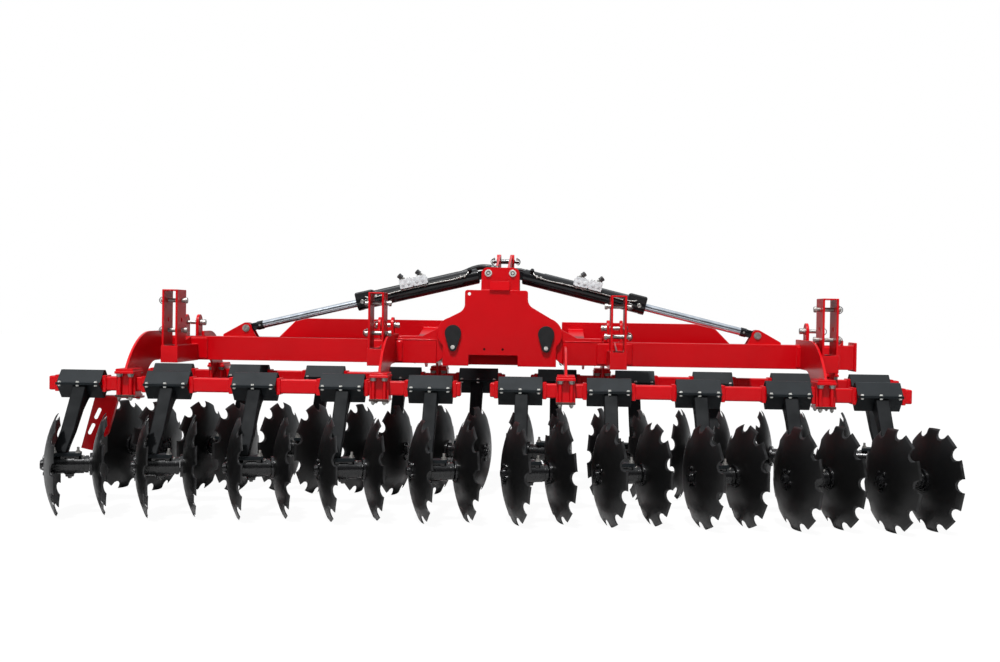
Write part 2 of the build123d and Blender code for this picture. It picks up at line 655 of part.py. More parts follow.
def save_centre_frame():
    """The rear plate, three cross plates on two spine tubes, and the cross tube with its link brackets."""
    upper = face_of(
        (-SHOULDER_X, PIVOT_Z), (-SHOULDER_X, SHOULDER_Z), (FACE_L, SHOULDER_L), (FACE_L, FACE_TOP),
        (FACE_R, FACE_TOP), (FACE_R, SHOULDER_R), (SHOULDER_X, SHOULDER_Z), (SHOULDER_X, PIVOT_Z),
    )
    inner = [v for v in upper.vertices() if v.X in (FACE_L, FACE_R) and v.Y < FACE_TOP]
    upper = fillet(inner, SHOULDER_ROUND)
    upper = fillet(upper.vertices().sort_by(Axis.Y)[-2:], CORNER_ROUND)
    window = Pos((CUT_L + CUT_R) / 2, FACE_BOTTOM) * Rectangle(CUT_R - CUT_L, 2 * (CUT_TOP - FACE_BOTTOM))
    rear = pierced(lobes() + upper - window - Pos(SLING_X, SLING_Z) * Circle(SLING_R))
    save(plate_y(rear, CHEEK_YS[0], CHEEK_T), "rear_plate")
    plain = pierced(lobes() + face_of(
        (-PIVOT_X, PIVOT_Z), (-PIVOT_X, PIVOT_Z + LOBE_R), (-SPINE_OUT, PLATE_TOP), (SPINE_OUT, PLATE_TOP),
        (PIVOT_X, PIVOT_Z + LOBE_R), (PIVOT_X, PIVOT_Z),
    ) - window)
    shape = [plate_y(plain, y, CHEEK_T) for y in CHEEK_YS[1:]]
    for way in (-1, 1):
        shape.append(block(
            way * SPINE_IN, way * SPINE_OUT, CHEEK_YS[0] + CHEEK_T, CHEEK_YS[3], SPINE_BOTTOM, SPINE_TOP
        ))
    save(Part() + shape, "centre_frame")
    z0 = CROSS_Z - CROSS / 2
    z1 = CROSS_Z + CROSS / 2
    hitch = block(-CROSS_X, CROSS_X, CROSS_Y, CROSS_Y + CROSS, z0, z1)
    bracket = Pos(HITCH_Y, HITCH_Z) * Circle(HITCH_R) + face_of(
        (CROSS_Y, z0 - BRACKET_LIP), (CROSS_Y, z1 + BRACKET_LIP),
        (CROSS_Y + CROSS + BRACKET_LIP, z1 + BRACKET_LIP),
        (HITCH_Y + HITCH_R, HITCH_Z), (HITCH_Y, HITCH_Z - HITCH_R),
    )
    bracket -= Pos(HITCH_Y, HITCH_Z) * Circle(HITCH_PIN_R + PIN_FIT)
    for way in (-1, 1):
        for edge in (-1, 1):
            hitch += plate_x(bracket, way * HITCH_X + edge * (HITCH_GAP + HITCH_PLATE) / 2, HITCH_PLATE)
    save(hitch, "hitch_frame")


# ---- mast --------------------------------------------------------------------------------------------------
def save_mast():
    """Two mast plates that hold the cylinders, and the braces that run forward to the top link."""
    outline = face_of(
        (-MAST_FOOT, SPINE_TOP), (-MAST_X, MAST_TOP), (MAST_X, MAST_TOP), (MAST_FOOT, SPINE_TOP)
    )
    outline = fillet(outline.vertices().sort_by(Axis.Y)[-2:], MAST_ROUND)
    for way in (-1, 1):
        outline -= Pos(way * BARREL_X, BARREL_Z) * Circle(CYL_PIN_R + PIN_FIT)
    rear_y = CHEEK_YS[0] + CHEEK_T
    fore_y = CHEEK_YS[1] - MAST_T
    shape = [plate_y(outline, rear_y, MAST_T), plate_y(outline, fore_y, MAST_T)]
    reach = MID_Y - BASE_W / 2 - BASE_PLAY - rear_y - MAST_T
    for way in (-1, 1):
        for k, y in ((0, rear_y + MAST_T), (1, fore_y - reach)):
            boss = rod_y(way * BARREL_X, y, y + reach, BARREL_Z, BOSS_R)
            shape[k] += boss - rod_y(way * BARREL_X, y, y + reach, BARREL_Z, CYL_PIN_R + PIN_FIT)
    wedge = face_of((CHEEK_YS[0], FACE_TOP), (rear_y, FACE_TOP), (rear_y, WEDGE_TOP))
    shape[0] += plate_x(wedge, 0, 2 * WEDGE_X)
    brace = Pos(TOP_Y, TOP_Z) * Circle(TOP_R)
    front = CROSS_Y
    y0 = CHEEK_YS[1]
    brace += face_of(
        (y0, PLATE_TOP), (y0, MAST_TOP - MAST_T), (TOP_Y, TOP_Z + TOP_R), (TOP_Y + TOP_R, TOP_Z),
        (front, PLATE_TOP),
    )
    low = PLATE_TOP + BRACE_RIM
    inner = y0 + 1.5 * BRACE_RIM
    fore = front - BRACE_RIM
    brace -= face_of(
        (inner, low), (inner, MAST_TOP - 1.5 * BRACE_RIM), (fore, MAST_TOP - BRACE_RIM * 0.7), (fore, low)
    )
    brace -= Pos(TOP_Y, TOP_Z) * Circle(TOP_PIN_R + PIN_FIT)
    for way in (-1, 1):
        x = way * (TOP_GAP + BRACE_T) / 2
        shape[1] += plate_x(brace, x, BRACE_T)
        thick = TOP_EAR - BRACE_T
        pad = plate_x(Pos(TOP_Y, TOP_Z) * Circle(TOP_R), way * (TOP_GAP / 2 + BRACE_T + thick / 2), thick)
        shape[1] += pad - rod_x(way * TOP_GAP, way * TOP_GAP / 3, TOP_Y, TOP_Z, TOP_PIN_R + PIN_FIT)
    save(shape, "mast")


# ---- pins of the centre ------------------------------------------------------------------------------------
def save_centre_pins():
    """Hinge pins with their capped heads, the cylinders' base pins, and the pins of the hitch."""
    pins = []
    for y, far in ((CHEEK_YS[0], CHEEK_YS[1]), (CHEEK_YS[2], CHEEK_YS[3])):
        for way in (-1, 1):
            pin = rod_y(way * PIVOT_X, y, far + CHEEK_T + PIN_HEAD, PIVOT_Z, PIVOT_R)
            head = Pos(way * PIVOT_X, PIVOT_Z) * Circle(CAP_R)
            head += Pos(way * PIVOT_X, KEEPER_Z) * Circle(KEEPER_R)
            head += Pos(way * PIVOT_X, (PIVOT_Z + KEEPER_Z) / 2) * Rectangle(2 * KEEPER_R, PIVOT_Z - KEEPER_Z)
            pins.append(pin + plate_y(head, y - CAP_T, CAP_T))
    save(pins, "hinge_pins")
    base = []
    for way in (-1, 1):
        y0 = CHEEK_YS[0] + CHEEK_T
        pin = rod_y(way * BARREL_X, y0 - PIN_HEAD, CHEEK_YS[1] + PIN_HEAD, BARREL_Z, CYL_PIN_R)
        base.append(pin + rod_y(way * BARREL_X, y0 - PIN_HEAD, y0, BARREL_Z, CYL_PIN_R + PIN_BRIM))
    save(base, "base_pins")
    half = TOP_GAP / 2 - BUSH_PLAY
    ear = TOP_GAP / 2 + TOP_EAR
    top = rod_x(-ear, ear, TOP_Y, TOP_Z, TOP_PIN_R) + rod_x(-half, half, TOP_Y, TOP_Z, TOP_BUSH_R)
    links = [top + rod_x(-TOP_PIN_L / 2, TOP_PIN_L / 2, TOP_Y, TOP_Z, TOP_END_R)]
    inner = HITCH_X - HITCH_GAP / 2 - HITCH_PLATE - HITCH_END
    plate = HITCH_X + HITCH_GAP / 2 + HITCH_PLATE
    half = HITCH_GAP / 2 - BUSH_PLAY
    for way in (-1, 1):
        pin = rod_x(way * inner, way * (plate + HITCH_FREE + HITCH_END), HITCH_Y, HITCH_Z, HITCH_PIN_R)
        pin += rod_x(way * HITCH_X - half, way * HITCH_X + half, HITCH_Y, HITCH_Z, HITCH_BUSH_R)
        links.append(pin + rod_x(way * plate, way * (plate + HITCH_FREE), HITCH_Y, HITCH_Z, HITCH_BUSH_R))
    save(links, "hitch_pins")


# ---- folding cylinders -------------------------------------------------------------------------------------
def save_cylinders(name, side):
    """Barrel, rod and valve block of one wing, modelled along X from the base pin and sloped to the eye."""
    slope = degrees(atan2(BARREL_Z - EYE_Z, EYE_X - BARREL_X))
    length = hypot(BARREL_Z - EYE_Z, EYE_X - BARREL_X)
    at = Pos(BARREL_X, REAR_Y + MID_Y, BARREL_Z) * Rot(0, slope, 0)
    along = Rot(0, 90, 0)
    across = Rot(90, 0, 0)
    from_end = (Align.CENTER, Align.CENTER, Align.MIN)
    barrel = Pos(NECK, 0, 0) * along * Cylinder(BORE_R, BARREL_L - NECK, align=from_end)
    barrel += Pos(BARREL_L - GLAND_L, 0, 0) * along * Cylinder(GLAND_R, GLAND_L, align=from_end)
    barrel -= Pos(NECK + BARREL_END, 0, 0) * along * Cylinder(ROD_R + ROD_FIT, BARREL_L, align=from_end)
    barrel += across * Cylinder(EYE_R, BASE_W) + Pos(NECK / 2, 0, 0) * Box(NECK, BASE_W, NECK_H)
    barrel -= across * Cylinder(CYL_PIN_R + PIVOT_FIT, BASE_W)
    rod = Pos(ROD_IN, 0, 0) * along * Cylinder(ROD_R, length - ROD_IN, align=from_end)
    rod += Pos(length, 0, 0) * across * Cylinder(EYE_R, EYE_W)
    middle = BLOCK_S + BLOCK_L / 2
    valve = Pos(middle, 0, BORE_R + ROD_FIT + BLOCK_H / 2) * Box(BLOCK_L, BLOCK_W, BLOCK_H)
    for way in (-1, 1):
        foot = Pos(middle + way * BLOCK_L / 3, 0, BORE_R + ROD_FIT + BLOCK_H)
        valve += foot * Cylinder(NIPPLE_R, NIPPLE_H, align=from_end)
    for node, shape in (("barrel", barrel), ("rod", rod), ("valve_block", valve)):
        save(mirrored([at * shape], side), f"{name}_{node}")


# ---- the whole machine -------------------------------------------------------------------------------------
def main():
    save_discs(disc_pair())
    for name, side in SIDES:
        save_arms(name, side)
        save_gang_tubes(name, side)
        save_hangers(name, side)
        save_wing_frame(name, side)
        save_roller_brackets(name, side)
        save_cylinders(name, side)
    save_deflector()
    save_centre_frame()
    save_mast()
    save_centre_pins()


main()
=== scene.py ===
import json
from itertools import product
from math import asin, atan2, cos, hypot, pi, radians, sin, sqrt

import bmesh
import bpy
from mathutils import Matrix, Vector


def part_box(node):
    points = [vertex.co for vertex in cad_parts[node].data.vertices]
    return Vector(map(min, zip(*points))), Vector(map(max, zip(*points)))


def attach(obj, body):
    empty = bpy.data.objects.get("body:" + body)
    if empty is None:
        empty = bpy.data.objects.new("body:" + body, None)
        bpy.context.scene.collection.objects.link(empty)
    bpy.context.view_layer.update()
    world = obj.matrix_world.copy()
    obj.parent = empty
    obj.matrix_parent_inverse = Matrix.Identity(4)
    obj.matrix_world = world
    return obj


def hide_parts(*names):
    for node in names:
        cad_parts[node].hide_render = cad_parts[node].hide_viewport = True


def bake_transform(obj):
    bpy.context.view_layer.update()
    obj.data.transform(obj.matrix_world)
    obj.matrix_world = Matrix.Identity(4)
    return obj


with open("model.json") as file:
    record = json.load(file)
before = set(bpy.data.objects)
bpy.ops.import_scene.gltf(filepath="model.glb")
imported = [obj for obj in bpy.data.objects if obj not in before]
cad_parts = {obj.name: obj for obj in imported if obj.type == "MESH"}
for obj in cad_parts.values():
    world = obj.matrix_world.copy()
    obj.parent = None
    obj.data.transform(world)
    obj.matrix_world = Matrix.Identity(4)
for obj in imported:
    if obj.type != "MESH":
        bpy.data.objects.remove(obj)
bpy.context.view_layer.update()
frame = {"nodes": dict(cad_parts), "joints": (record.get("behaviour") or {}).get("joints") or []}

# ---- Studio ----
# The machine stands on a white floor in a white room, seen from behind at a little over beam height.
# A high sun behind it does most of the work, and what its gloss mirrors is dark except high above.
EYE = (0.299, -7.8142, 1.129)
HEADING = radians(-2.144)
DIP = radians(0.719)
TILT = radians(0.841)
LENS_MM = 46.33
SENSOR_MM = 36
SIGHT_END = 200
FLOOR_SIZE = 90
FLOOR_SHADE = 0.50
FLOOR_LIFT = 0.90  # share of the floor's white that the lens sees without shading
FLOOR_WHITE = 1.06
ROOM_SHADE = 0.42
ROOM_TINT = (0.94, 0.97, 1, 1)
SKY_TINT = (0.92, 0.96, 1, 1)
SKY_STEEP = 2.4  # how much more height counts than depth in what the gloss mirrors
SKY_SPAN = (0.3, 2.4)
SKY_GLOW = (0.05, 0.85)
SUN_STRENGTH = 4.0
SUN_SOFTNESS = 4
SUN_WAY = (0.10, 0.46, -0.88)
LAMP_WATTS = 70
LAMP_SIZE = 3.2
LAMP_AIM = (0, 0, 0.7)


def wired(tree, node, inputs):
    """Sets a node's inputs, and joins those whose value is another node's socket."""
    for key, value in inputs.items():
        if isinstance(value, bpy.types.NodeSocket):
            tree.links.new(value, node.inputs[key])
        else:
            node.inputs[key].default_value = value
    return node


def add_node(tree, kind, inputs=None, **settings):
    """A new node with its settings and inputs."""
    node = tree.nodes.new("ShaderNode" + kind)
    for key, value in settings.items():
        setattr(node, key, value)
    return wired(tree, node, inputs or {})


ahead = Vector((sin(HEADING) * cos(DIP), cos(HEADING) * cos(DIP), -sin(DIP)))
level = ahead.cross(Vector((0, 0, 1))).normalized()
upright = level.cross(ahead)
rightwards = level * cos(TILT) + upright * sin(TILT)
upwards = upright * cos(TILT) - level * sin(TILT)
bpy.ops.object.camera_add(location=EYE)
camera = bpy.context.object
camera.data.lens = LENS_MM
camera.data.sensor_width = SENSOR_MM
camera.data.clip_end = SIGHT_END
camera.matrix_world = Matrix((rightwards, upwards, -ahead)).transposed().to_4x4()
camera.location = EYE
bpy.context.scene.camera = camera
bpy.context.scene.view_settings.view_transform = "Standard"

bpy.ops.mesh.primitive_plane_add(size=FLOOR_SIZE, location=(0, 0, 0))
floor = bpy.context.object
floor.name = "studio_floor"
floor_finish = bpy.data.materials.new("studio_floor")
floor_finish.use_nodes = True
tree = floor_finish.node_tree
shaded = wired(tree, tree.nodes["Principled BSDF"], {
    "Base Color": (FLOOR_SHADE, FLOOR_SHADE, FLOOR_SHADE, 1), "Roughness": 0.9, "Specular IOR Level": 0,
})
white = add_node(tree, "Emission", {"Strength": FLOOR_WHITE})
sight = add_node(tree, "LightPath").outputs
seen = add_node(tree, "Math", {0: sight["Is Camera Ray"], 1: FLOOR_LIFT}, operation="MULTIPLY")
lit = add_node(tree, "MixShader", {0: seen.outputs[0], 1: shaded.outputs[0], 2: white.outputs[0]})
wired(tree, tree.nodes["Material Output"], {"Surface": lit.outputs[0]})
floor.data.materials.append(floor_finish)

room = bpy.data.worlds.new("white_room")
room.use_nodes = True
bpy.context.scene.world = room
tree = room.node_tree
soft = wired(tree, tree.nodes["Background"], {"Color": ROOM_TINT, "Strength": ROOM_SHADE})
plain_white = add_node(tree, "Background", {"Color": (1, 1, 1, 1)})
view = add_node(tree, "SeparateXYZ", {0: add_node(tree, "TexCoord").outputs["Generated"]}).outputs
lifted = add_node(tree, "Math", {0: view["Z"], 1: SKY_STEEP, 2: view["Y"]}, operation="MULTIPLY_ADD")
sky = add_node(tree, "MapRange", {
    "Value": lifted.outputs[0], "From Min": SKY_SPAN[0], "From Max": SKY_SPAN[1],
    "To Min": SKY_GLOW[0], "To Max": SKY_GLOW[1],
}, interpolation_type="SMOOTHSTEP")
mirrored = add_node(tree, "Background", {"Color": SKY_TINT, "Strength": sky.outputs["Result"]})
sight = add_node(tree, "LightPath").outputs
by_gloss = add_node(tree, "MixShader", {0: sight["Is Glossy Ray"], 1: soft.outputs[0], 2: mirrored.outputs[0]})
seen = add_node(tree, "Math", {0: sight["Is Camera Ray"], 1: sight["Is Transmission Ray"]}, operation="MAXIMUM")
by_sight = add_node(tree, "MixShader", {0: seen.outputs[0], 1: by_gloss.outputs[0], 2: plain_white.outputs[0]})
wired(tree, tree.nodes["World Output"], {"Surface": by_sight.outputs[0]})

bpy.ops.object.light_add(type="SUN", location=(-1.5, -6, 9))
sun = bpy.context.object
sun.name = "high_sun"
sun.data.energy = SUN_STRENGTH
sun.data.angle = radians(SUN_SOFTNESS)
sun.rotation_euler = Vector(SUN_WAY).to_track_quat("-Z", "Y").to_euler()
bpy.ops.object.light_add(type="AREA", location=(-1.0, -7.5, 2.4))
lamp = bpy.context.object
lamp.name = "lamp_behind"
lamp.data.size = LAMP_SIZE
lamp.data.energy = LAMP_WATTS
lamp.visible_glossy = False
lamp.rotation_euler = (Vector(LAMP_AIM) - lamp.location).to_track_quat("-Z", "Y").to_euler()

# ---- Centre frame ----
# A rear plate and three cross plates on two box tubes, and the hitch's cross tube in front of them.
# Cut and welded from plate, blasted and sprayed in glossy red.
SIDES = (("left", -1), ("right", 1))
PLATE_EDGE = 0.0025  # rounding that the paint leaves on a cut edge
BEAD = 0.0042
BEAD_STEP = 0.0066
BEAD_CLEAR = 0.004  # what a bead leaves free at a rounded corner
SPINE_SIDES = (0.075, 0.195)
SPINE_TOP = 1.000
MID_PLATE = (0.2858, 0.3058)
FRONT_PLATE_T = 0.020
CROSS_TUBE_Z = (0.880, 0.980)
CROSS_TUBE_DEEP = 0.100
CROSS_TUBE_WELD = 0.345
LINK_BRACKETS = (0.412, 0.428, 0.536, 0.552)
HOLE_XS = (-0.093, 0.020)
HOLE_Z = 0.916
WINDOW_LOW = (-0.200, 0.2735, 0.8135)
WINDOW_HIGH = (0.123, 0.2795, 0.8860)


def finish_of(name, base, second, patch, rough, grain, grain_depth, metal=0.0, coat=0.0, shine=0.5):
    """A paint or metal: two shades in soft patches, uneven gloss and a fine skin."""
    look = bpy.data.materials.new(name)
    look.use_nodes = True
    tree = look.node_tree
    place = add_node(tree, "TexCoord").outputs["Object"]
    patches = add_node(tree, "TexNoise", {"Vector": place, "Scale": patch, "Detail": 4}).outputs["Fac"]
    shades = add_node(tree, "ValToRGB", {"Fac": patches})
    for stop, position, shade_of in zip(shades.color_ramp.elements, (0.38, 0.62), (second, base)):
        stop.position = position
        stop.color = (*shade_of, 1)
    gloss = add_node(tree, "MapRange", {
        "Value": patches, "From Min": 0.3, "From Max": 0.7, "To Min": rough[0], "To Max": rough[1],
    })
    pores = add_node(tree, "TexNoise", {"Vector": place, "Scale": grain, "Detail": 3})
    relief = add_node(tree, "Bump", {"Height": pores.outputs["Fac"], "Strength": grain_depth, "Distance": 0.001})
    wired(tree, tree.nodes["Principled BSDF"], {
        "Base Color": shades.outputs["Color"], "Roughness": gloss.outputs["Result"],
        "Normal": relief.outputs["Normal"], "Metallic": metal, "Coat Weight": coat, "Coat Roughness": 0.08,
        "Specular IOR Level": shine,
    })
    return look


red_paint = finish_of("red_paint", (0.56, 0.0001, 0.0040), (0.49, 0.0001, 0.0030), 1.7, (0.28, 0.38), 160, 0.10,
                      coat=0.10, shine=0.18)
# A darker copy of the red paint, painted shade for the plate that sits in shadow behind the rear plate's cut-out.
red_painted_shade = finish_of("red_in_shade", (0.42, 0.0003, 0.0040), (0.34, 0.0002, 0.0030), 3, (0.50, 0.60), 160, 0.10,
                     shine=0.1)
# Near-black that stands in for the shade inside holes and recesses: painted shade.
hole_shade_black = finish_of("dark_inside", (0.004, 0.001, 0.001), (0.007, 0.002, 0.002), 30, (0.6, 0.7), 200, 0.1,
                       shine=0.1)


def hold(piece):
    """Makes one piece the only one that the next tool works on."""
    if bpy.context.object and bpy.context.object.mode != "OBJECT":
        bpy.ops.object.mode_set(mode="OBJECT")
    bpy.ops.object.select_all(action="DESELECT")
    piece.select_set(True)
    bpy.context.view_layer.objects.active = piece


def open_up(piece):
    """Opens one piece for editing, with all of it selected."""
    hold(piece)
    bpy.ops.object.mode_set(mode="EDIT")
    bpy.ops.mesh.select_all(action="SELECT")


def close_up():
    """Turns the faces of the open piece outwards and ends its editing."""
    bpy.ops.mesh.select_all(action="SELECT")
    bpy.ops.mesh.normals_make_consistent(inside=False)
    bpy.ops.object.mode_set(mode="OBJECT")


def modify(piece, kind, **settings):
    """Gives a piece one modifier and applies it."""
    hold(piece)
    modifier = piece.modifiers.new(kind, kind)
    for key, value in settings.items():
        setattr(modifier, key, value)
    bpy.ops.object.modifier_apply(modifier=kind)
    return piece


def shade(piece, angle=32, finish=None):
    """Smooth shading that keeps the sharp edges, and a finish where one is given."""
    hold(piece)
    bpy.ops.object.shade_smooth_by_angle(angle=radians(angle))
    modify(piece, "WEIGHTED_NORMAL", keep_sharp=True, weight=100)
    if finish:
        piece.data.materials.append(finish)
    return piece


def round_edges(piece, width, steps=2, angle=30):
    """Rounds every edge that is sharper than the angle."""
    return modify(piece, "BEVEL", width=width, segments=steps, limit_method="ANGLE", angle_limit=radians(angle),
                  use_clamp_overlap=False)


def added(name, data):
    """Puts a mesh or curve into the scene as an object of its own."""
    piece = bpy.data.objects.new(name, data)
    bpy.context.scene.collection.objects.link(piece)
    return piece


def clean_copy(node, name):
    """A merged copy of a welded part, with its flat faces whole again."""
    mesh = frame["nodes"][node].data.copy()
    mesh.materials.clear()
    piece = added(name, mesh)
    open_up(piece)
    bpy.ops.mesh.remove_doubles(threshold=0.00005)
    bpy.ops.mesh.dissolve_limited(angle_limit=radians(0.4))
    close_up()
    return piece


def fit(piece, finish, body, node=None):
    """Gives a finished piece its finish, the body that it is fixed to and the node that it stands for."""
    if finish and not piece.data.materials:
        piece.data.materials.append(finish)
    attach(piece, body)
    if node:
        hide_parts(node)


def put(piece, matrix):
    """Moves a piece's mesh and leaves its object at the origin."""
    piece.data.transform(matrix)
    if matrix.determinant() < 0:
        piece.data.flip_normals()
    piece.data.update()
    return piece


def moved(*by):
    """A plain shift, for put."""
    return Matrix.Translation(by)


def joined(name, pieces):
    """Several pieces made one."""
    hold(pieces[0])
    for piece in pieces:
        piece.select_set(True)
    if len(pieces) > 1:
        bpy.ops.object.join()
    pieces[0].name = name
    return pieces[0]


def finished(name, pieces, angle=32, finish=None):
    """Several pieces made one, smoothed and finished."""
    return shade(joined(name, pieces), angle, finish)


def round_line(name, thick, facets):
    """An empty round line with closed ends."""
    line = bpy.data.curves.new(name, "CURVE")
    line.dimensions = "3D"
    line.bevel_depth = thick
    line.bevel_resolution = facets
    line.use_fill_caps = True
    return line


def solid_line(line, finish, angle):
    """The line made a shaded mesh."""
    hold(added(line.name, line))
    bpy.ops.object.convert(target="MESH")
    piece = bpy.context.object
    piece.data.materials.clear()
    return shade(piece, angle, finish)


def welds(name, runs, size=BEAD):
    """Weld beads along straight runs, each a pair of ends, rippled like a row of coins."""
    line = round_line(name, size, 1)
    for start, end in runs:
        start, end = Vector(start), Vector(end)
        count = max(4, round((end - start).length / BEAD_STEP))
        bead = line.splines.new("POLY")
        bead.points.add(count - 1)
        for k, point in enumerate(bead.points):
            point.co = (*start.lerp(end, k / (count - 1)), 1)
            point.radius = 0.55 if k in (0, count - 1) else 0.84 + 0.32 * (k % 2)
    return solid_line(line, red_paint, 70)


def seams(xs, ys, zs, out=1):
    """Runs of weld: each list is a span to follow, and each tuple holds the places where a run stands."""
    runs = []
    for spot in product(*(places if isinstance(places, tuple) else (places,) for places in (xs, ys, zs))):
        x, y, z = (place if isinstance(place, list) else (place, place) for place in spot)
        runs.append(((out * x[0], y[0], z[0]), (out * x[1], y[1], z[1])))
    return runs


def welded(node, name, body, runs=(), edge=PLATE_EDGE):
    """A CAD node's copy with painted edges, and the beads on its seams."""
    piece = shade(round_edges(clean_copy(node, name), edge), finish=red_paint)
    if runs:
        piece = joined(name, [piece, welds(f"{name}_beads", runs)])
    fit(piece, None, body, node)


plate_low, plate_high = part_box("rear_plate")
spine_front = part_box("centre_frame")[1].y
cross_faces = (plate_high.y, *MID_PLATE)
runs = []
for _, out in SIDES:
    runs += seams(SPINE_SIDES, cross_faces, [CROSS_TUBE_Z[0] + BEAD_CLEAR, SPINE_TOP], out)
    runs += seams([*SPINE_SIDES], (*cross_faces, spine_front - FRONT_PLATE_T), SPINE_TOP, out)
welded("rear_plate", "rear_plate_cut", "centre")
welded("centre_frame", "cross_plates_welded", "centre", runs)
tube_front = spine_front + CROSS_TUBE_DEEP
runs = seams([-CROSS_TUBE_WELD, CROSS_TUBE_WELD], spine_front, CROSS_TUBE_Z)
for _, out in SIDES:
    runs += seams(LINK_BRACKETS, tube_front, [CROSS_TUBE_Z[0] + BEAD_CLEAR, CROSS_TUBE_Z[1] - BEAD_CLEAR], out)
    runs += seams(LINK_BRACKETS, [spine_front + BEAD_CLEAR, tube_front], CROSS_TUBE_Z, out)
welded("hitch_frame", "hitch_frame_welded", "centre", runs)


def height_rank(face):
    """Ranks faces by height, with those that look up first. Level ones rank by their place round the axis."""
    x, y, z = face.calc_center_median()
    return z + (0.5 if face.normal.z > 0.9 else 0), 0.8 * x + 0.6 * y


def turned(name, steps, sides=32):
    """A round piece from the ground up, turned to each (radius, height) in turn."""
    bpy.ops.object.select_all(action="DESELECT")
    radius, height = steps[0]
    bpy.ops.mesh.primitive_cylinder_add(vertices=sides, radius=radius, depth=height, location=(0, 0, 0))
    piece = bpy.context.object
    piece.name = name
    open_up(piece)
    bpy.ops.transform.translate(value=(0, 0, height / 2))
    shape = bmesh.from_edit_mesh(piece.data)
    for wide, high in steps[1:]:
        bpy.ops.mesh.select_all(action="DESELECT")
        top = max(shape.faces, key=height_rank)
        top.select = True
        shape.select_flush(True)
        bmesh.update_edit_mesh(piece.data)
        if abs(wide - radius) > 1e-6:
            bpy.ops.mesh.extrude_region_move()
            bpy.ops.transform.resize(value=(wide / radius, wide / radius, 1))
        if abs(high - height) > 1e-6:
            bpy.ops.mesh.extrude_region_move(TRANSFORM_OT_translate={"value": (0, 0, high - height)})
        shape = bmesh.from_edit_mesh(piece.data)
        radius, height = wide, high
    bpy.ops.mesh.select_all(action="SELECT")
    bpy.ops.mesh.remove_doubles(threshold=0.00002)
    close_up()
    return piece


def facing(point, direction, roll=0.0):
    """Where a piece stands whose up is turned to the direction."""
    turn = Vector(direction).to_track_quat("Z", "Y").to_matrix().to_4x4()
    return moved(*point) @ turn @ Matrix.Rotation(roll, 4, "Z")


def turned_at(name, steps, sides, point, direction, roll=0.0):
    """A turned piece that stands on the point, its up turned to the direction."""
    return put(turned(name, steps, sides), facing(point, direction, roll))


def box_of(name, low, high, rounding=0.0, steps=2):
    """A block between two corners, its edges rounded."""
    bpy.ops.object.select_all(action="DESELECT")
    bpy.ops.mesh.primitive_cube_add(size=1)
    piece = bpy.context.object
    piece.name = name
    open_up(piece)
    bpy.ops.transform.resize(value=Vector(high) - Vector(low))
    bpy.ops.transform.translate(value=(Vector(low) + Vector(high)) / 2)
    bpy.ops.object.mode_set(mode="OBJECT")
    return round_edges(piece, rounding, steps) if rounding else piece


# Two holes in the rear plate are near-black discs, painted shade inside the holes. A plate behind its cut-out closes
# the view into the frame.
fit(joined("plugged_holes", [
    turned_at("plugged_hole", ((0.0075, 0.0012), (0.0062, 0.0018)), 20, (x, plate_low.y + 0.0006, HOLE_Z), (0, -1, 0))
    for x in HOLE_XS
]), hole_shade_black, "centre")
# The plate behind the cut-out takes the darker copy of the red paint: painted shade for a plate in the frame's
# shadow.
fit(shade(box_of("window_plate", WINDOW_LOW, WINDOW_HIGH, 0.0015)), red_painted_shade, "centre")

# ---- Mast ----
# Two plates that carry the folding cylinders, and the pair of braces that reach to the top link.
# Plate again, welded over the spine and painted with it. A folded wedge closes the plate's foot.
BRACE_FACES = (-0.047, -0.031, 0.031, 0.047)
BRACE_WELD = [1.112, 1.396]
MAST_WELD = (0.058, 0.118)
WEDGE_X = (-0.066, 0.058)
WEDGE_TOP = 1.337
WEDGE_OUT = 0.014
WEDGE_TIP = 0.0022
WEDGE_TAPER = 0.97
WEDGE_SINK = 0.0005
mast_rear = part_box("mast")[0].y
runs = seams(BRACE_FACES, MID_PLATE[1], BRACE_WELD)
runs += seams([-MAST_WELD[1], -MAST_WELD[0]], plate_high.y, plate_high.z)
runs += seams([*MAST_WELD], plate_high.y, plate_high.z)
welded("mast", "mast_welded", "centre", runs)
wedge = box_of("mast_wedge", (WEDGE_X[0], plate_low.y - WEDGE_OUT, plate_high.z - WEDGE_SINK),
               (WEDGE_X[1], mast_rear + WEDGE_SINK, WEDGE_TOP))
for corner in wedge.data.vertices:
    if corner.co.z > plate_high.z:
        corner.co.y = max(corner.co.y, mast_rear - WEDGE_TIP)
        corner.co.x *= WEDGE_TAPER
fit(shade(round_edges(wedge, 0.0015)), red_paint, "centre")

# ---- Centre pins ----
# Black caps on the hinge pins with a bolt through each keeper, zinc plated pins for the cylinders and oiled
# steel pins for the hitch. Turned steel, with linch pins through the ends of the hitch's pins.
CAP_R = 0.0505
CAP_TOE_R = 0.025
CAP_T = 0.017
CAP_PROUD = 0.001  # how far a cover stands out past the pin's own head
CAP_CHAMFER = 0.001
KEEPER_DOWN = 0.087
BASE_PIN_R = (0.0155, 0.0172)  # at its chamfered ends and between them
BASE_GROOVE_IN = 0.0048  # floor of the head's cup, from the washer's outer face
PIN_WASHER = ((0.0215, 0.0005), (0.0225, 0.0015), (0.0225, 0.0035), (0.0215, 0.0045))
TOP_PIN_AT = (1.0328, 1.494)
TOP_PIN_HALF = 0.091
TOP_PIN = (
    (0.0100, 0.0015), (0.0119, 0.0035), (0.0119, 0.010), (0.0098, 0.011), (0.0098, 0.014), (0.0119, 0.015),
    (0.0119, 0.0315), (0.0127, 0.0320), (0.0127, 0.0605), (0.0158, 0.0610), (0.0158, 0.1210), (0.0127, 0.1215),
    (0.0127, 0.1500), (0.0119, 0.1505), (0.0119, 0.167), (0.0098, 0.168), (0.0098, 0.171), (0.0119, 0.172),
    (0.0119, 0.1785), (0.0100, 0.1820),
)
LOW_PIN_AT = (1.1128, 0.809)
LOW_PIN_START = 0.388
LOW_PIN_CLIPS = ((0.617, 1), (0.400, -1))
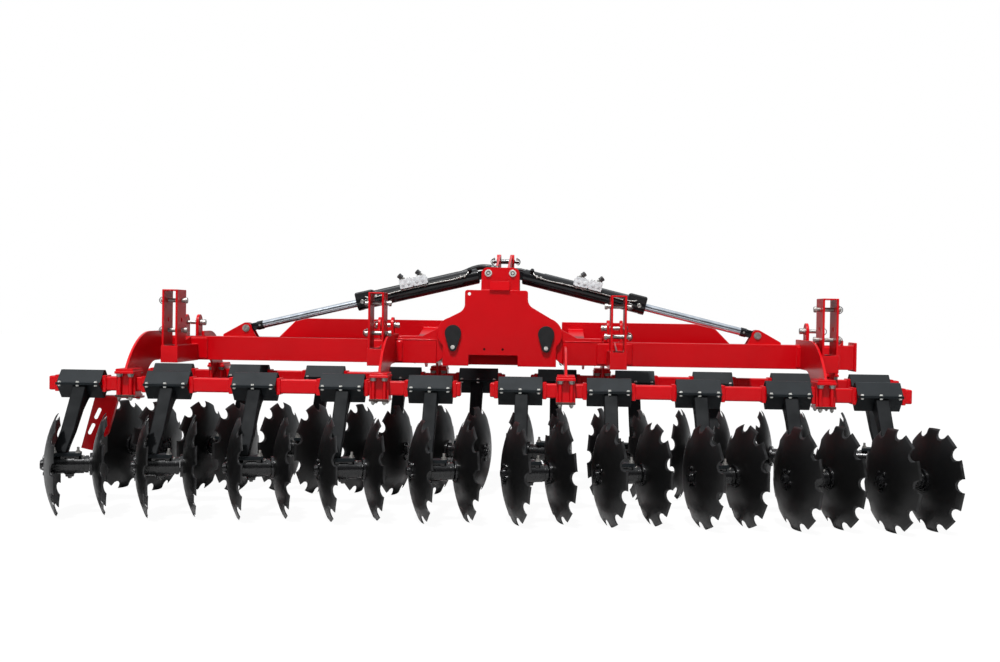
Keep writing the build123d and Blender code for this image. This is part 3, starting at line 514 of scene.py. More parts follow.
LOW_PIN = (
    (0.0120, 0.0015), (0.0141, 0.0035), (0.0141, 0.0405), (0.0182, 0.0410), (0.0182, 0.1475), (0.0141, 0.1480),
    (0.0141, 0.1640), (0.0182, 0.1645), (0.0182, 0.2155), (0.0170, 0.2160), (0.0141, 0.2165), (0.0141, 0.2370),
    (0.0120, 0.2400),
)
zinc = finish_of("zinc_plate", (0.48, 0.47, 0.45), (0.30, 0.29, 0.27), 60, (0.30, 0.46), 500, 0.2, metal=0.70)
# A lighter copy of the zinc plate: zinc's own colour raised by painted highlights, for the small bolts and pin heads
# that glint.
bright_zinc = finish_of("bright_zinc", (0.80, 0.80, 0.77), (0.62, 0.62, 0.58), 60, (0.30, 0.42), 500, 0.2,
                        metal=0.45)
dark_steel = finish_of("oiled_steel", (0.10, 0.10, 0.105), (0.16, 0.155, 0.15), 70, (0.30, 0.45), 500, 0.2,
                       metal=1.0)
cap_black = finish_of("cap_black", (0.006, 0.007, 0.008), (0.010, 0.011, 0.012), 30, (0.30, 0.42), 300, 0.2)


def twin(name, piece, place):
    """Another of the same piece, set down at its place."""
    return put(added(name, piece.data.copy()), place)


def copies(name, master, places):
    """The master set down once at every place, as one piece. The master itself goes."""
    made = [twin(name, master, place) for place in places]
    bpy.data.objects.remove(master)
    return joined(name, made)


def hex_bolt(name, across_flats, head, washer=True, metal=zinc):
    """A hexagon head on a washer, its top corners turned off."""
    radius = across_flats / sqrt(3)
    bolt = turned(name, ((radius, head * 0.8), (radius * 0.86, head)), 6)
    if washer:
        ring = turned(name, ((radius * 1.18, head * 0.16), (radius * 1.12, head * 0.2)), 14)
        bolt = joined(name, [bolt, ring])
    bolt.data.materials.append(metal)
    return bolt


def wire(name, points, thick, finish):
    """A round wire, pipe or hose on a smooth way through its points."""
    line = round_line(name, thick, 3)
    line.resolution_u = 6
    path = line.splines.new("BEZIER")
    path.bezier_points.add(len(points) - 1)
    for knot, point in zip(path.bezier_points, points):
        knot.co = point
        knot.handle_left_type = knot.handle_right_type = "AUTO"
    return solid_line(line, finish, 50)


def linch_pin(name, pin):
    """A peg through the origin along Z, for a pin of this radius, and the ring that snaps over the pin's end."""
    long = 2 * pin
    peg = turned(name, (
        (0.0032, 0.0), (0.0042, 0.004), (0.0042, long + 0.010), (0.0062, long + 0.012), (0.0062, long + 0.018),
        (0.0040, long + 0.021),
    ), 12)
    shade(put(peg, moved(0, 0, -pin - 0.006)), finish=zinc)
    top = pin + 0.009
    ring = wire(name, [
        (0, 0.004, top), (0.011, pin * 0.9, top - 0.004), (0.018, pin + 0.009, 0), (0.012, pin * 0.8, -pin - 0.006),
        (0.006, 0, -pin - 0.010), (0.012, -pin * 0.8, -pin - 0.006), (0.018, -pin - 0.009, 0),
        (0.011, -pin * 0.9, top - 0.004), (0, -0.004, top),
    ], 0.0025, dark_steel)
    return joined(name, [peg, ring])


def linch_at(x, y, z, way):
    """Where a linch pin goes whose ring faces the pin's free end, up or down the X axis."""
    return moved(x, y, z) @ Matrix.Rotation(0.2 if way > 0 else pi - 0.2, 4, "Z")


cap_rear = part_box("hinge_pins")[0].y
caps = shade(round_edges(clean_copy("hinge_pins", "hinge_pins_turned"), 0.003), 40, cap_black)
fit(caps, None, "centre", "hinge_pins")
covers = []
keepers = []
for hinge in [j for j in frame["joints"] if j["name"].endswith("_fold")]:
    x, z = hinge["pos_m"][0], hinge["pos_m"][2]
    cover = joined("cap_cover", [
        turned_at("cap_round", ((radius, CAP_T - CAP_CHAMFER), (radius - CAP_CHAMFER, CAP_T)), sides,
                  (x, cap_rear + CAP_T - CAP_PROUD, z - down), (0, -1, 0))
        for radius, sides, down in ((CAP_R, 56, 0), (CAP_TOE_R, 32, KEEPER_DOWN))
    ])
    open_up(cover)
    bpy.ops.mesh.convex_hull()
    bpy.ops.mesh.select_all(action="SELECT")
    bpy.ops.mesh.dissolve_limited(angle_limit=radians(0.5))
    bpy.ops.object.mode_set(mode="OBJECT")
    covers.append(round_edges(cover, 0.0045, 3, 50))
    keepers.append(facing((x, cap_rear - CAP_PROUD, z - KEEPER_DOWN), (0, -1, 0), x))
fit(finished("cap_covers", covers, 40), cap_black, "centre")
keeper_bolts = copies("keeper_bolts", hex_bolt("keeper_bolt", 0.019, 0.009, metal=bright_zinc), keepers)
fit(keeper_bolts, None, "centre")

base_low, base_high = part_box("base_pins")
base_long = base_high.y - base_low.y
swings = [j for j in frame["joints"] if j["name"].endswith("_barrel_swing")]
pins = []
cup_shades = []
for swing in swings:
    x, z = swing["pos_m"][0], swing["pos_m"][2]
    for steps, sides, y, way in (
        (((BASE_PIN_R[0], 0.002), (BASE_PIN_R[1], 0.004), (BASE_PIN_R[1], base_long - 0.016),
          (BASE_PIN_R[0], base_long - 0.014)), 28, base_low.y + 0.014, 1),
        (PIN_WASHER, 32, base_low.y + 0.012, -1),
        (((0.0195, 0.005), (0.0180, 0.0070), (0.0135, 0.0072), (0.0128, 0.0030)), 32, base_low.y + 0.0077, -1),
        (((0.0080, 0.0030), (0.0066, 0.0042)), 20, base_low.y + BASE_GROOVE_IN, -1),
        (((0.0215, 0.003), (0.0165, 0.0032), (0.0165, 0.011)), 6, base_high.y - 0.012, 1),
    ):
        pins.append(turned_at("base_pin", steps, sides, (x, y, z), (0, way, 0)))
    # A near-black disc on each pin head's cup floor, round the centre button: painted shade in the recess.
    cup_shade = ((0.0127, 0.0006), (0.0122, 0.0010))
    cup_shades.append(turned_at("pin_groove", cup_shade, 28, (x, base_low.y + BASE_GROOVE_IN, z), (0, -1, 0)))
fit(finished("base_pins_turned", pins, 35), bright_zinc, "centre", "base_pins")
fit(joined("base_pin_grooves", cup_shades), hole_shade_black, "centre")

pins = [turned_at("top_link_pin", TOP_PIN, 28, (-TOP_PIN_HALF, *TOP_PIN_AT), (1, 0, 0))]
clips = [linch_at(way * (TOP_PIN_HALF - 0.0125), *TOP_PIN_AT, way) for way in (-1, 1)]
fit(copies("top_link_clips", linch_pin("top_clip", 0.0120), clips), None, "centre")
clips = []
for _, out in SIDES:
    pins.append(turned_at("lower_link_pin", LOW_PIN, 32, (out * LOW_PIN_START, *LOW_PIN_AT), (out, 0, 0)))
    clips += [linch_at(out * x, *LOW_PIN_AT, way * out) for x, way in LOW_PIN_CLIPS]
fit(finished("link_pins_turned", pins, 35), dark_steel, "centre", "hitch_pins")
fit(copies("lower_link_clips", linch_pin("link_clip", 0.0142), clips), None, "centre")

# ---- Wing frames ----
# Each wing is two box beams joined by two tubes, with the hinge knuckles at its inner end.
# The beams are drawn tube, welded all round where they meet the knuckles, lugs and end plates.
BEAM_Y = (0.1298, 0.2798)
BEAM_Z = (0.8225, 0.9695)
BEAM_END = 2.170
LUG_X = (1.524, 1.729)
LUG_FACES = (0.1598, 0.1738, 0.2358, 0.2498)
INNER_TUBE_X = (0.430, 0.530)
INNER_TUBE_FOOT = 0.872
OUTER_TUBE_X = (1.480, 1.580)
OUTER_TUBE_WELD = [0.824, 0.922]
OUTER_TUBE_TOP = 0.9225
KNUCKLE_PLATE = (0.630, 0.400)  # outer and inner end of the plate on the beam's rear top edge
WING_EDGE = 0.0035
for side, out in SIDES:
    runs = seams(BEAM_END, BEAM_Y, [*BEAM_Z], out) + seams(BEAM_END, [*BEAM_Y], BEAM_Z[1], out)
    runs += seams([*LUG_X], LUG_FACES, BEAM_Z[1], out)
    runs += seams(INNER_TUBE_X, BEAM_Y[1], [INNER_TUBE_FOOT, BEAM_Z[1]], out)
    runs += seams([*INNER_TUBE_X], BEAM_Y[1], BEAM_Z[1], out)
    runs += seams(OUTER_TUBE_X, BEAM_Y[1], OUTER_TUBE_WELD, out)
    runs += seams([*OUTER_TUBE_X], BEAM_Y[1], OUTER_TUBE_TOP, out)
    runs += seams([*KNUCKLE_PLATE], BEAM_Y[0] + 0.001, BEAM_Z[1], out)
    runs += seams(KNUCKLE_PLATE[0] + 0.002, [BEAM_Y[0] + BEAD_CLEAR, BEAM_Y[0] + 0.022], BEAM_Z[1], out)
    welded(f"{side}_wing_frame", f"{side}_wing_welded", f"{side}_wing", runs, WING_EDGE)

# ---- Roller brackets ----
# Stub tubes with drilled posts, and ears on the beam, from which a roller can be hung.
# The pins are zinc plated bar with a turned head inboard and a linch pin outboard.
POST_XS = (0.709, 1.928)
POST_FACES = (0.034, 0.046)
POST_PIN_Y = -0.2272
POST_PIN_ZS = (1.187, 1.010)
PAD_FACE = BEAM_Y[0] - 0.008
PAD_HALF = 0.107
PAD_Z = (0.834, 0.958)
STUB_HALF = 0.050
STUB_TOP = 0.920
RIB_HALF = 0.005
EAR_FACES = (0.031, 0.049)
EAR_AT = (0.1798, 1.055)
LUG_EYE = (1.587, 1.023)
PIN_R = 0.0125
POST_PIN = (
    (0.0150, 0.0015), (0.0175, 0.0040), (0.0175, 0.0150), (0.0160, 0.0170), (PIN_R, 0.0175), (PIN_R, 0.1555),
    (0.0100, 0.1600),
)
EAR_PIN = (
    (0.0150, 0.0015), (0.0185, 0.0040), (0.0185, 0.0170), (0.0160, 0.0190), (PIN_R, 0.0195), (PIN_R, 0.1455),
    (0.0100, 0.1490),
)
EAR_COLLAR = ((0.0180, 0.0010), (0.0195, 0.0025), (0.0195, 0.0110), (0.0180, 0.0125))


def about(middle, *asides):
    """The places at each distance to both sides of the middle."""
    return tuple(middle + way * aside for aside in asides for way in (-1, 1))


for side, out in SIDES:
    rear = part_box(f"{side}_roller_brackets")[0].y
    runs = []
    for x in (out * post for post in POST_XS):
        runs += seams(about(x, STUB_HALF), PAD_FACE, [BEAM_Z[0], STUB_TOP - 0.0025])
        runs += seams([*about(x, STUB_HALF - 0.002)], PAD_FACE, STUB_TOP)
        runs += seams(about(x, PAD_HALF), BEAM_Y[0], [PAD_Z[0] + 0.002, PAD_Z[1] - 0.002])
        runs += seams([*about(x, PAD_HALF - 0.002)], BEAM_Y[0], PAD_Z)
        runs += seams(about(x, *POST_FACES), [rear + BEAD_CLEAR, rear + 0.181], STUB_TOP)
        runs += seams(about(x, RIB_HALF), [rear + 0.190, PAD_FACE - 0.002], STUB_TOP)
        runs += seams(about(x, *EAR_FACES), [BEAM_Y[0] + BEAD_CLEAR, BEAM_Y[0] + 0.096], BEAM_Z[1])
    welded(f"{side}_roller_brackets", f"{side}_roller_brackets_welded", f"{side}_wing", runs)

    pins = []
    clips = []
    for x in POST_XS:
        for steps, inboard, outboard, spots in (
            (POST_PIN, 0.080, 0.062, [(POST_PIN_Y, z) for z in POST_PIN_ZS]), (EAR_PIN, 0.083, 0.058, [EAR_AT]),
        ):
            for spot in spots:
                pins.append(turned_at("bracket_pin", steps, 24, (out * (x - inboard), *spot), (out, 0, 0)))
                clips.append(linch_at(out * (x + outboard), *spot, out))
        pins.append(turned_at("ear_collar", EAR_COLLAR, 24, (out * (x - EAR_FACES[1]), *EAR_AT), (-out, 0, 0)))
    x, z = out * LUG_EYE[0], LUG_EYE[1]
    for y, way in ((BEAM_Y[0] + 0.0300, -1), (BEAM_Y[1] - 0.0300, 1)):
        pins.append(turned_at("eye_washer", PIN_WASHER, 32, (x, y, z), (0, way, 0)))
        head = ((0.0170, 0.0050), (0.0150, 0.0074), (0.0095, 0.0076), (0.0088, 0.0040))
        pins.append(turned_at("eye_head", head, 6, (x, y + way * 0.0044, z), (0, way, 0), out))
    pin_set = finished(f"{side}_bracket_pins_turned", pins, 35)
    fit(pin_set, zinc, f"{side}_wing", f"{side}_bracket_pins")
    clip_set = copies(f"{side}_roller_pin_clips", linch_pin("roller_clip", PIN_R), clips)
    fit(clip_set, None, f"{side}_wing")

# ---- Hangers ----
# Curved webs on clamps, four to a wing, that carry the gang tubes under the beams.
# Each clamp is drawn together by four long bolts in painted sleeves, with nuts under the top plates.
CLAMP_TOP = 0.764
CLAMP_FLOOR = 0.644
BOLT_ACROSS = 0.032
BOLT_ALONG = 0.070
FOOT_TOP = 0.792
FOOT_WELD = (0.058, 0.085)
WEB_HALF = 0.0075
WEB_WELD = [0.826, 0.940]
WIDE_WEBS = (2.097, 0.650)
NARROW_WEBS = (1.850, 0.403)
PAD_WEBS = (0.650, 1.850)  # those that stand on a roller bracket's pad in the rear row
TRAIL = 0.350  # disc line behind the gang tube
LOW_NUT = ((0.0125, 0.0105), (0.0108, 0.0130), (0.0070, 0.0131), (0.0070, 0.0180), (0.0058, 0.0195))
SLEEVE = ((0.0100, 0.001), (0.0108, 0.002), (0.0108, 0.100), (0.0090, 0.104), (0.0080, 0.108))
# A dark brown for the clamps' lowest faces.
clamp_floor_brown = finish_of("scaled_plate", (0.060, 0.030, 0.022), (0.035, 0.016, 0.012), 14, (0.45, 0.62), 260, 0.3)
row_ys = {
    row: next(j["pos_m"][1] for j in frame["joints"] if j["name"] == f"left_{row}_spin_1") + TRAIL
    for row in ("rear", "front")
}
for side, out in SIDES:
    wing = f"{side}_wing"
    runs = []
    bolts = []
    sleeves = []
    under = []
    webs = (WIDE_WEBS, NARROW_WEBS) if side == "left" else (NARROW_WEBS, WIDE_WEBS)
    for row, toward, face, places in (("rear", 1, BEAM_Y[0], webs[0]), ("front", -1, BEAM_Y[1], webs[1])):
        y = row_ys[row]
        for place in places:
            x = out * place
            edges = about(x, WEB_HALF)
            runs += seams(edges, [y - toward * FOOT_WELD[0], y + toward * FOOT_WELD[1]], FOOT_TOP)
            runs += seams(edges, PAD_FACE if row == "rear" and place in PAD_WEBS else face, WEB_WELD)
            if place != NARROW_WEBS[1]:
                runs += seams(edges, [BEAM_Y[0] + BEAD_CLEAR, BEAM_Y[1] - BEAD_CLEAR], BEAM_Z[1])
            for way, aside in product((-1, 1), (-BOLT_ACROSS, BOLT_ACROSS)):
                at = (x + aside, y + way * BOLT_ALONG)
                bolts.append(facing((*at, CLAMP_TOP), (0, 0, -1), aside * 20 + way))
                sleeves.append(moved(*at, CLAMP_FLOOR))
                under.append(facing((*at, CLAMP_FLOOR - 0.014), (0, 0, -1), aside * 9 - way))
    hanger = shade(round_edges(clean_copy(f"{side}_hangers", "hanger"), PLATE_EDGE), finish=red_paint)
    # Faces at and below the clamp floor take a dark brown in place of the red paint.
    hanger.data.materials.append(clamp_floor_brown)
    for face in hanger.data.polygons:
        if face.center.z < CLAMP_FLOOR + 0.0002:
            face.material_index = 1
    hanger = joined(f"{side}_hangers_welded", [hanger, welds("hanger_beads", runs)])
    fit(hanger, None, wing, f"{side}_hangers")
    fit(copies(f"{side}_clamp_nuts", hex_bolt("clamp_nut", 0.031, 0.018), bolts), None, wing)
    fit(copies(f"{side}_clamp_bolt_ends", turned("low_nut", LOW_NUT, 6), under), zinc, wing)
    sleeve = shade(turned("clamp_sleeve", SLEEVE, 16), 35)
    fit(copies(f"{side}_clamp_sleeves", sleeve, sleeves), red_paint, wing)

# ---- Gang tubes ----
# Square drawn tubes across the machine, two to a wing, with a plug pressed into each end.
# A collar is welded on at each side of every shell and keeps it from sliding.
TUBE_HALF = 0.040
TUBE_ROUND = 0.008
TUBE_INNER_END = 0.172  # from the nearest shell's middle
TUBE_OUTER_END = 0.185
PLUG_HALF = 0.032
PLUG_T = 0.0012
COLLAR_HALF = 0.047
COLLAR_GAP = 0.1255
COLLAR_LONG = 0.022
COLLAR_BEAD = 0.0034
COLLAR_BEAD_OUT = 0.0405
COLLAR_BEAD_HALF = 0.033
HUB_ASIDE = 0.058  # hub's middle beside the arm's
pairs = []
for joint in frame["joints"]:
    if joint.get("continuous"):
        side, row, _, number = joint["name"].split("_")
        hub = Vector(joint["pos_m"])
        low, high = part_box(f"{side}_gang_tubes")
        aside = HUB_ASIDE if row == "rear" else -HUB_ASIDE
        tube = Vector((hub.x - aside, hub.y + TRAIL, (low.z + high.z) / 2))
        pairs.append((side, row, int(number), hub, Vector(joint["axis"]), tube))

for side, out in SIDES:
    pieces = []
    runs = []
    ends = (TUBE_INNER_END, TUBE_OUTER_END) if out > 0 else (TUBE_OUTER_END, TUBE_INNER_END)
    for row in ("rear", "front"):
        spots = [pair[-1] for pair in pairs if pair[:2] == (side, row)]
        start = min(spot.x for spot in spots) - ends[0]
        stop = max(spot.x for spot in spots) + ends[1]
        y, z = spots[0].y, spots[0].z
        pieces.append(box_of("gang_tube", (start, y - TUBE_HALF, z - TUBE_HALF),
                             (stop, y + TUBE_HALF, z + TUBE_HALF), TUBE_ROUND, 4))
        for x in (start + PLUG_T, stop - PLUG_T):
            pieces.append(box_of("tube_plug", (x - PLUG_T, y - PLUG_HALF, z - PLUG_HALF),
                                 (x + PLUG_T, y + PLUG_HALF, z + PLUG_HALF)))
        for spot, way in product(spots, (-1, 1)):
            near = spot.x + way * COLLAR_GAP
            far = near + way * COLLAR_LONG
            pieces.append(box_of("collar", (min(near, far), y - COLLAR_HALF, z - COLLAR_HALF),
                                 (max(near, far), y + COLLAR_HALF, z + COLLAR_HALF), 0.0035))
            runs += seams(far, about(y, COLLAR_BEAD_OUT), [*about(z, COLLAR_BEAD_HALF)])
            runs += seams(far, [*about(y, COLLAR_BEAD_HALF)], about(z, COLLAR_BEAD_OUT))
    tubes = finished("gang_tubes", pieces, finish=red_paint)
    tubes = joined(f"{side}_gang_tubes_drawn", [tubes, welds("collar_beads", runs, COLLAR_BEAD)])
    fit(tubes, None, f"{side}_wing", f"{side}_gang_tubes")

# ---- Shells ----
# Two pressed steel half shells grip the gang tube through four rubber rods, and bolts join their flanges.
# The upper half is a flat-ridged channel in slate black paint. The lower half carries the arm.
SHELL_LONG = 0.250
SHELL_WALL = 0.007
SHELL_HALF = 0.0803  # half the inner width of the diamond
SHELL_LIP = 0.020
SHELL_EDGE = 0.0022
RIDGE_UP = 0.076
RIDGE_DOWN = 0.085
ROD_LONG = 0.247
RODS = ((0, 0.0545, 0.0140), (0, -0.0570, 0.0162), (0.0572, 0, 0.0164), (-0.0572, 0, 0.0164))
FLANGE_BOLTS = (-0.104, 0.0, 0.104)
FLANGE_BOLT_IN = 0.0092  # bolt's middle from the lip's edge
slate_paint = finish_of("slate_black_paint", (0.0062, 0.0086, 0.0104), (0.0088, 0.0120, 0.0144), 9, (0.42, 0.54),
                        420, 0.25, shine=0.18)
rubber = finish_of("black_rubber", (0.006, 0.006, 0.006), (0.012, 0.012, 0.012), 30, (0.6, 0.75), 300, 0.3)
outer = SHELL_HALF + SHELL_WALL * sqrt(2)
lip = outer + SHELL_LIP - SHELL_WALL


def sheet_of(name, outline, thick):
    """A flat outline in Y and Z, drawn out along X to both sides of its middle."""
    bpy.ops.object.select_all(action="DESELECT")
    bpy.ops.mesh.primitive_circle_add(vertices=len(outline), fill_type="NGON")
    piece = bpy.context.object
    piece.name = name
    for corner, (y, z) in zip(piece.data.vertices, outline):
        corner.co = (0, y, z)
    open_up(piece)
    bpy.ops.mesh.extrude_region_move(TRANSFORM_OT_translate={"value": (thick, 0, 0)})
    close_up()
    return put(piece, moved(-thick / 2, 0, 0))


def half_shell(name, ridge, way):
    """One half of the shell, pressed from sheet, up or down from the tube's centre."""
    half = [
        (SHELL_HALF - ridge + SHELL_WALL, ridge - SHELL_WALL), (SHELL_HALF, 0),
        (lip, 0), (lip, SHELL_WALL), (outer - SHELL_WALL, SHELL_WALL), (outer - ridge, ridge),
    ]
    outline = half + [(-y, z) for y, z in reversed(half)]
    sheet = sheet_of(name, [(y, way * z) for y, z in outline], SHELL_LONG)
    return shade(round_edges(sheet, SHELL_EDGE), finish=slate_paint)


for side, _ in SIDES:
    places = [moved(*pair[-1]) for pair in pairs if pair[0] == side]
    upper = copies(f"{side}_upper_shells", half_shell("upper_shell", RIDGE_UP, 1), places)
    fit(upper, None, f"{side}_wing", f"{side}_shells")
    rods = [
        turned_at("rubber_rod", ((thick * 0.9, 0.001), (thick, 0.004), (thick, ROD_LONG - 0.003),
                                 (thick * 0.9, ROD_LONG)), 14, (-ROD_LONG / 2, aside, up), (1, 0, 0))
        for aside, up, thick in RODS
    ]
    rod_set = finished("rubber_rods", rods, finish=rubber)
    fit(copies(f"{side}_rubber_rods", rod_set, places), None, f"{side}_wing")
    spots = []
    for place, way, along in product(places, (-1, 1), FLANGE_BOLTS):
        y = way * (lip - FLANGE_BOLT_IN)
        spots.append(place @ facing((along, y, SHELL_WALL), (0, 0, 1), along * 9 + way))
        spots.append(place @ facing((along, y, -SHELL_WALL), (0, 0, -1), along * 7 - way))
    bolts = copies(f"{side}_flange_bolts", hex_bolt("flange_bolt", 0.0155, 0.008, metal=bright_zinc), spots)
    fit(bolts, None, f"{side}_wing")

# ---- Arms and hubs ----
# A trailing arm of flat bar is welded to each lower shell, and its foot is bolted down on a sealed hub.
# The hub is a black cast housing with a clamp round its middle and bearing covers at its ends.
ARM_WIDE = 0.076
ARM_ASIDE = 0.008
ARM_ROUND = 0.007
HUB_R = 0.050
HUB_RIM_R = 0.0475
HUB_GROOVE_R = 0.0445
HUB_NEAR = 0.1105
HUB_FAR = 0.1045
FOOT_T = 0.016
FOOT_ENDS = (0.098, 0.060)
FOOT_BOLTS = (0.044, -0.080)
STRAP = ((0.052, 0.002), (0.0555, 0.006), (0.0555, 0.052), (0.052, 0.056))
NIPPLE = ((0.005, 0.004), (0.0035, 0.006), (0.0035, 0.011), (0.0015, 0.013))
WORK_TURN = radians(17)
arm_paint = finish_of("arm_black_paint", (0.0050, 0.0058, 0.0066), (0.0075, 0.0085, 0.0095), 9, (0.55, 0.68), 420,
                      0.25, shine=0.10)
hub_gloss = finish_of("hub_black", (0.004, 0.004, 0.0045), (0.007, 0.007, 0.0075), 40, (0.18, 0.32), 350, 0.15,
                      coat=0.2)


def trailing_arm(step):
    """Lower shell, arm, foot and hub, about the tube's centre. step is 1 in the rear row and -1 in front."""
    drop = pairs[0][-1].z - pairs[0][3].z
    down = drop - HUB_R - FOOT_T + 0.001
    wall = (SHELL_HALF + outer) / 2
    lower = half_shell("lower_shell", RIDGE_DOWN, -1)
    leg = sheet_of("arm", (
        (-outer + 0.002, -0.006), (-outer - 0.014, -0.030), (-0.150, -0.095), (-0.262, -0.245),
        (-0.352, -down + 0.035), (-0.385, -down + 0.004), (-0.385, -down), (-0.327, -down),
        (-0.300, -down + 0.030), (-0.215, -0.262), (-0.110, -0.150), (-0.040, -0.098), (0.002, -0.080),
        (-wall + RIDGE_DOWN - 0.007, -RIDGE_DOWN + 0.007), (-wall + 0.009, -0.009),
    ), ARM_WIDE)
    put(leg, moved(step * ARM_ASIDE, 0, 0))
    shade(round_edges(leg, ARM_ROUND, 3, 40), 40, arm_paint)
    toe, heel = sorted((-step * FOOT_ENDS[0], step * FOOT_ENDS[1]))
    foot_top = HUB_R + FOOT_T
    plate = box_of("foot_plate", (toe, -0.050, HUB_R - 0.003), (heel, 0.050, foot_top), 0.003)
    long = HUB_NEAR + HUB_FAR
    hub = turned_at("hub", (
        (0.040, 0.004), (HUB_RIM_R, 0.006), (HUB_RIM_R, 0.020), (HUB_GROOVE_R, 0.022), (HUB_GROOVE_R, 0.026),
        (HUB_R, 0.030), (HUB_R, long - 0.030), (HUB_GROOVE_R, long - 0.026), (HUB_GROOVE_R, long - 0.022),
        (HUB_RIM_R, long - 0.020), (HUB_RIM_R, long - 0.006), (0.040, long - 0.002),
    ), 40, (-HUB_NEAR if step > 0 else -HUB_FAR, 0, 0), (1, 0, 0))
    cast = joined("hub_cast", [
        hub, box_of("saddle", (-0.050, -0.038, -0.030), (0.050, 0.038, HUB_R - 0.001), 0.004),
        turned_at("strap", STRAP, 40, (-0.028, 0, 0), (1, 0, 0)),
        box_of("strap_ear", (-0.022, -0.020, -0.066), (0.022, 0.020, -0.040), 0.004),
    ])
    nipple = turned_at("grease_nipple", NIPPLE, 8, (step * 0.072, -0.030, 0.040), (0, -0.6, 0.8))
    nipple.data.materials.append(zinc)
    nut = hex_bolt("foot_bolt", 0.024, 0.014)
    heads = []
    for along in FOOT_BOLTS:
        place = facing((step * along, -0.030, foot_top), (0, 0, 1), along)
        stud = turned("stud", ((0.0075, 0.030), (0.0065, 0.032)), 10)
        stud.data.materials.append(zinc)
        heads += [put(stud, place), twin("foot_nut", nut, place)]
    bpy.data.objects.remove(nut)
    heads.append(put(hex_bolt("strap_bolt", 0.019, 0.010), facing((0, 0, -0.066), (0, 0, -1))))
    hub_set = joined("hub_set", [shade(cast, 35, hub_gloss), shade(plate, finish=slate_paint), nipple, *heads])
    put(hub_set, moved(step * HUB_ASIDE, -TRAIL, -drop) @ Matrix.Rotation(step * WORK_TURN, 4, "Z"))
    return joined("trailing_arm", [lower, leg, hub_set])


arms = {"rear": trailing_arm(1), "front": trailing_arm(-1)}
for side, _ in SIDES:
    made = [twin("arm", arms[row], moved(*tube)) for s, row, *_, tube in pairs if s == side]
    fit(joined(f"{side}_trailing_arms", made), None, f"{side}_wing", f"{side}_arms")
for arm in arms.values():
    bpy.data.objects.remove(arm)

# ---- Discs ----
# Notched blades pressed from hard steel plate, ground thin at the rim and dipped in black.
# Two are bolted to each hub's flanges, dished the same way.
BLADE_R = 0.280
BLADE_T = 0.006
DISH_R = 0.619  # radius of the ball that the blade is pressed round
FLAT_R = 0.078
TEETH = 10
NOTCH_R = 0.037
TOOTH_FLAT = 0.0027  # how far a tooth's middle is ground back
GROUND = 0.0036  # what the grinding takes off the back at the rim
GROUND_R = 0.235  # where it starts
GROUND_LONG = 0.010
BLADE_GAP = 0.250
RINGS = (0.232, 0.196, 0.158, 0.118, FLAT_R, 0.030)
TOOTH_STEPS = 4
NOTCH_STEPS = 8
FLANGE_T = 0.014
FLANGE = ((0.060, 0.002), (0.062, 0.004), (0.062, 0.0125), (0.060, FLANGE_T))
COVER = ((0.034, 0.003), (0.034, 0.008), (0.029, 0.012), (0.028, 0.020), (0.022, 0.024))
BLADE_BOLTS = 5
BOLT_RING_R = 0.050
blade_black = finish_of("blade_black", (0.0024, 0.0024, 0.0026), (0.0046, 0.0045, 0.0046), 7, (0.30, 0.46), 240,
                        0.2, shine=0.35)
blade_rim = finish_of("blade_ground_rim", (0.020, 0.020, 0.021), (0.007, 0.007, 0.007), 26, (0.32, 0.46), 420,
                      0.25, shine=0.4)


def dish_height(radius):
    """Height of the blade's back at a radius, below its flat centre."""
    if radius <= FLAT_R:
        return 0.0
    return sqrt(DISH_R**2 - radius**2) - sqrt(DISH_R**2 - FLAT_R**2)


